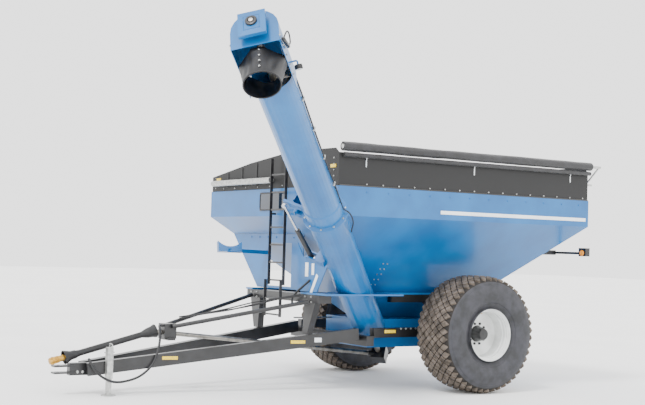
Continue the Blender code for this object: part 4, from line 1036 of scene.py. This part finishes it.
# %% Work lamp
LAMP_OUT = turned_to(HEAD, (0, 1, 0))
lamp_root = at(5.176, 4.345, 4.518)
bracket = tube([lamp_root - 0.01 * LAMP_OUT, lamp_root + 0.07 * LAMP_OUT, lamp_root + 0.09 * LAMP_OUT - 0.05 * Z],
               0.011, 4)
settle(bracket, "lamp_bracket", blue_enamel, "upper_auger")
lamp_aim = (-Z + 0.3 * LAMP_OUT).normalized()
lamp_back = lamp_root + 0.09 * LAMP_OUT - 0.05 * Z
lamp = bar(lamp_back, lamp_back + 0.06 * lamp_aim, 0.05, 0.010, 28)
pick(lamp, lambda middle, facing: facing.z > 0.95 and middle.z > 0)
bpy.ops.mesh.inset(thickness=0.006, depth=-0.006)
leave_edit()
settle(lamp, "work_lamp", guard_plastic, "upper_auger")
lens = bar(lamp_back + 0.050 * lamp_aim, lamp_back + 0.057 * lamp_aim, 0.040, 0.003, 28)
settle(lens, "work_lamp_lens", white_vinyl, "upper_auger")

# %% Spout actuator
def beside_head(back, out, up):
    """A point beside the head: so far back from its end, out from its side and up from the axis."""
    return spot(HEAD, HEAD_END - back, HEAD_HALF + out, up)


actuator = bar(beside_head(0.14, 0.030, -0.20), beside_head(0.42, 0.030, -0.06), 0.024, 0.006)
settle(actuator, "spout_actuator", black_enamel, "upper_auger")
loop = [beside_head(*place) for place in ((0.40, 0.030, -0.06), (0.44, 0.05, 0.02), (0.36, 0.06, 0.09),
                                          (0.26, 0.05, 0.03), (0.28, -0.01, -0.10))]
settle(tube(loop, 0.009, 6), "actuator_hose", moulded_rubber, "upper_auger", smooth=60)

# %% [markdown]
# ## The gusset below the joint
# Two plain labels and a slanted warning strip sit on the gusset, left blank here, and a braided line comes out
# past its edge.

# %% Gusset labels and line
LABELS = (("left", 0.92, 1.92, 0.09, 0.22), ("right", 1.10, 1.93, 0.07, 0.18), ("top", 1.10, 2.10, 0.10, 0.07))
for name, y, z, wide, high in LABELS:
    reflector("label_plain_" + name, at(2.7265, y, z), (high, wide), white_vinyl, X, Z)
reflector("label_plain_slant", at(2.7265, 1.145, 1.70), (0.34, 0.06), white_vinyl, X, Vector((0, 0.45, 0.75)))
line = [at(2.76, 0.56, 1.36), at(2.82, 0.66, 1.46), at(2.84, 0.82, 1.56), at(2.80, 0.95, 1.66),
        at(2.725, 1.02, 1.76)]
settle(tube(line, 0.018, 6), "gusset_line", moulded_rubber, smooth=60)

# %% [markdown]
# ## Hitch, driveline and jack
# The driveline's guard ends in flared cones that cover the joints, and the shaft carries a forked yoke for the
# cross. The cone is a ring with a flared section; the yoke is two ears and a pin.

# %% Guard cones and yoke
GUARD = Vector(joints["pto_guard_lift"]["pos_m"])
SHAFT = Vector(joints["pto_front_spin"]["axis"]).normalized()
FRONT_END = at(6.34, 0, 0.54)
reach = (FRONT_END - GUARD).length
CONE = [(-0.05, 0.056), (0.03, 0.060), (0.13, 0.098), (0.135, 0.098), (0.135, 0.103), (0.125, 0.103),
        (0.025, 0.066), (-0.05, 0.062)]
cones = []
for start, sign in ((0.10, -1), (reach - 0.16, 1)):
    place = along_frame(GUARD + start * SHAFT, sign * SHAFT)
    cones.append(ring_of(CONE, place, 40))
settle(merged(cones), "guard_cones", guard_plastic, "pto_guard_body", smooth=50)
yoke_place = along_frame(FRONT_END, SHAFT)
ears = [block((0.055, -0.034, sign * 0.038 - 0.010), (0.190, 0.034, sign * 0.038 + 0.010), 0.006, yoke_place)
        for sign in (1, -1)]
ears.append(bar(spot(yoke_place, 0.150, 0, -0.056), spot(yoke_place, 0.150, 0, 0.056), 0.018, 0.004))
settle(merged(ears), "yoke_ears", brass_yellow, "pto_front_shaft_body")

# %% Jack crank and pins
jack = [block((5.685, 0.265, 0.690), (5.775, 0.355, 0.712), 0.004, AT_HOME),
        tube([at(5.73, 0.31, 0.70), at(5.73, 0.31, 0.745), at(5.74, 0.34, 0.765), at(5.75, 0.44, 0.765),
              at(5.75, 0.46, 0.75), at(5.75, 0.46, 0.66)], 0.009, 4)]
settle(merged(jack), "jack_crank", zinc_plate)
pin = bar(at(5.65, 0.31, 0.635), at(5.81, 0.31, 0.635), 0.010)
settle(pin, "jack_pin", zinc_plate)

# %% [markdown]
# The frame's weldments are bolted together; these are its larger bolts.

# %% Frame bolts
hitch_rows = [(at(x, 1.0, 0.335), -Y) for x in (5.96, 6.04, 6.12)]
bolt_rows("hitch", hitch_rows, "hitch_bolts", zinc_plate, 1.3)
cross_rows = [(at(3.4, y, z), -X) for y in (-0.80, -0.62, 0.92, 1.10) for z in (1.42, 1.50)]
bolt_rows("upper_crossmember", cross_rows, "crossmember_bolts", zinc_plate, 1.0)
rail_rows = [(at(x, 2.0, 0.99), -Y) for x in (1.05, 0.95, 0.85, 0.75, 0.65)]
bolt_rows("left_axle_rail", rail_rows, "axle_rail_bolts", zinc_plate, 1.0)
head_rows = [(at(3.4, -1.1 + 0.28 * i, 2.42), -X) for i in range(7)]
bolt_rows("front_bulkhead", head_rows, "bulkhead_bolts", blue_enamel, 0.7)

# %% [markdown]
# A bundle of three hoses follows the left brace from the stand to the frame.

# %% Hose bundle
brace_low, brace_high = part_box("left_brace")
start = Vector((brace_high.x - 0.10, brace_low.y + 0.04, brace_low.z + 0.10))
end = Vector((brace_low.x + 0.15, brace_high.y - 0.05, brace_high.z + 0.02))
bundle = []
for k, (dy, dz) in enumerate(((0.0, 0.045), (0.026, 0.050), (0.013, 0.072))):
    route = [start.lerp(end, t) + Vector((0, dy, dz + 0.012 * math.sin(9 * t + k)))
             for t in (0, 0.2, 0.4, 0.6, 0.8, 1)]
    bundle.append(tube(route, 0.011, 5))
settle(merged(bundle), "brace_hoses", moulded_rubber, smooth=60)

# %% [markdown]
# ## Clearing up
# The patterns that were copied are removed. The finished model may stand a little proud of the CAD, never much.

# %% Removing the patterns
clear_pick()
for pattern in PATTERNS:
    bpy.data.objects.remove(pattern, do_unlink=True)
bpy.context.view_layer.update()
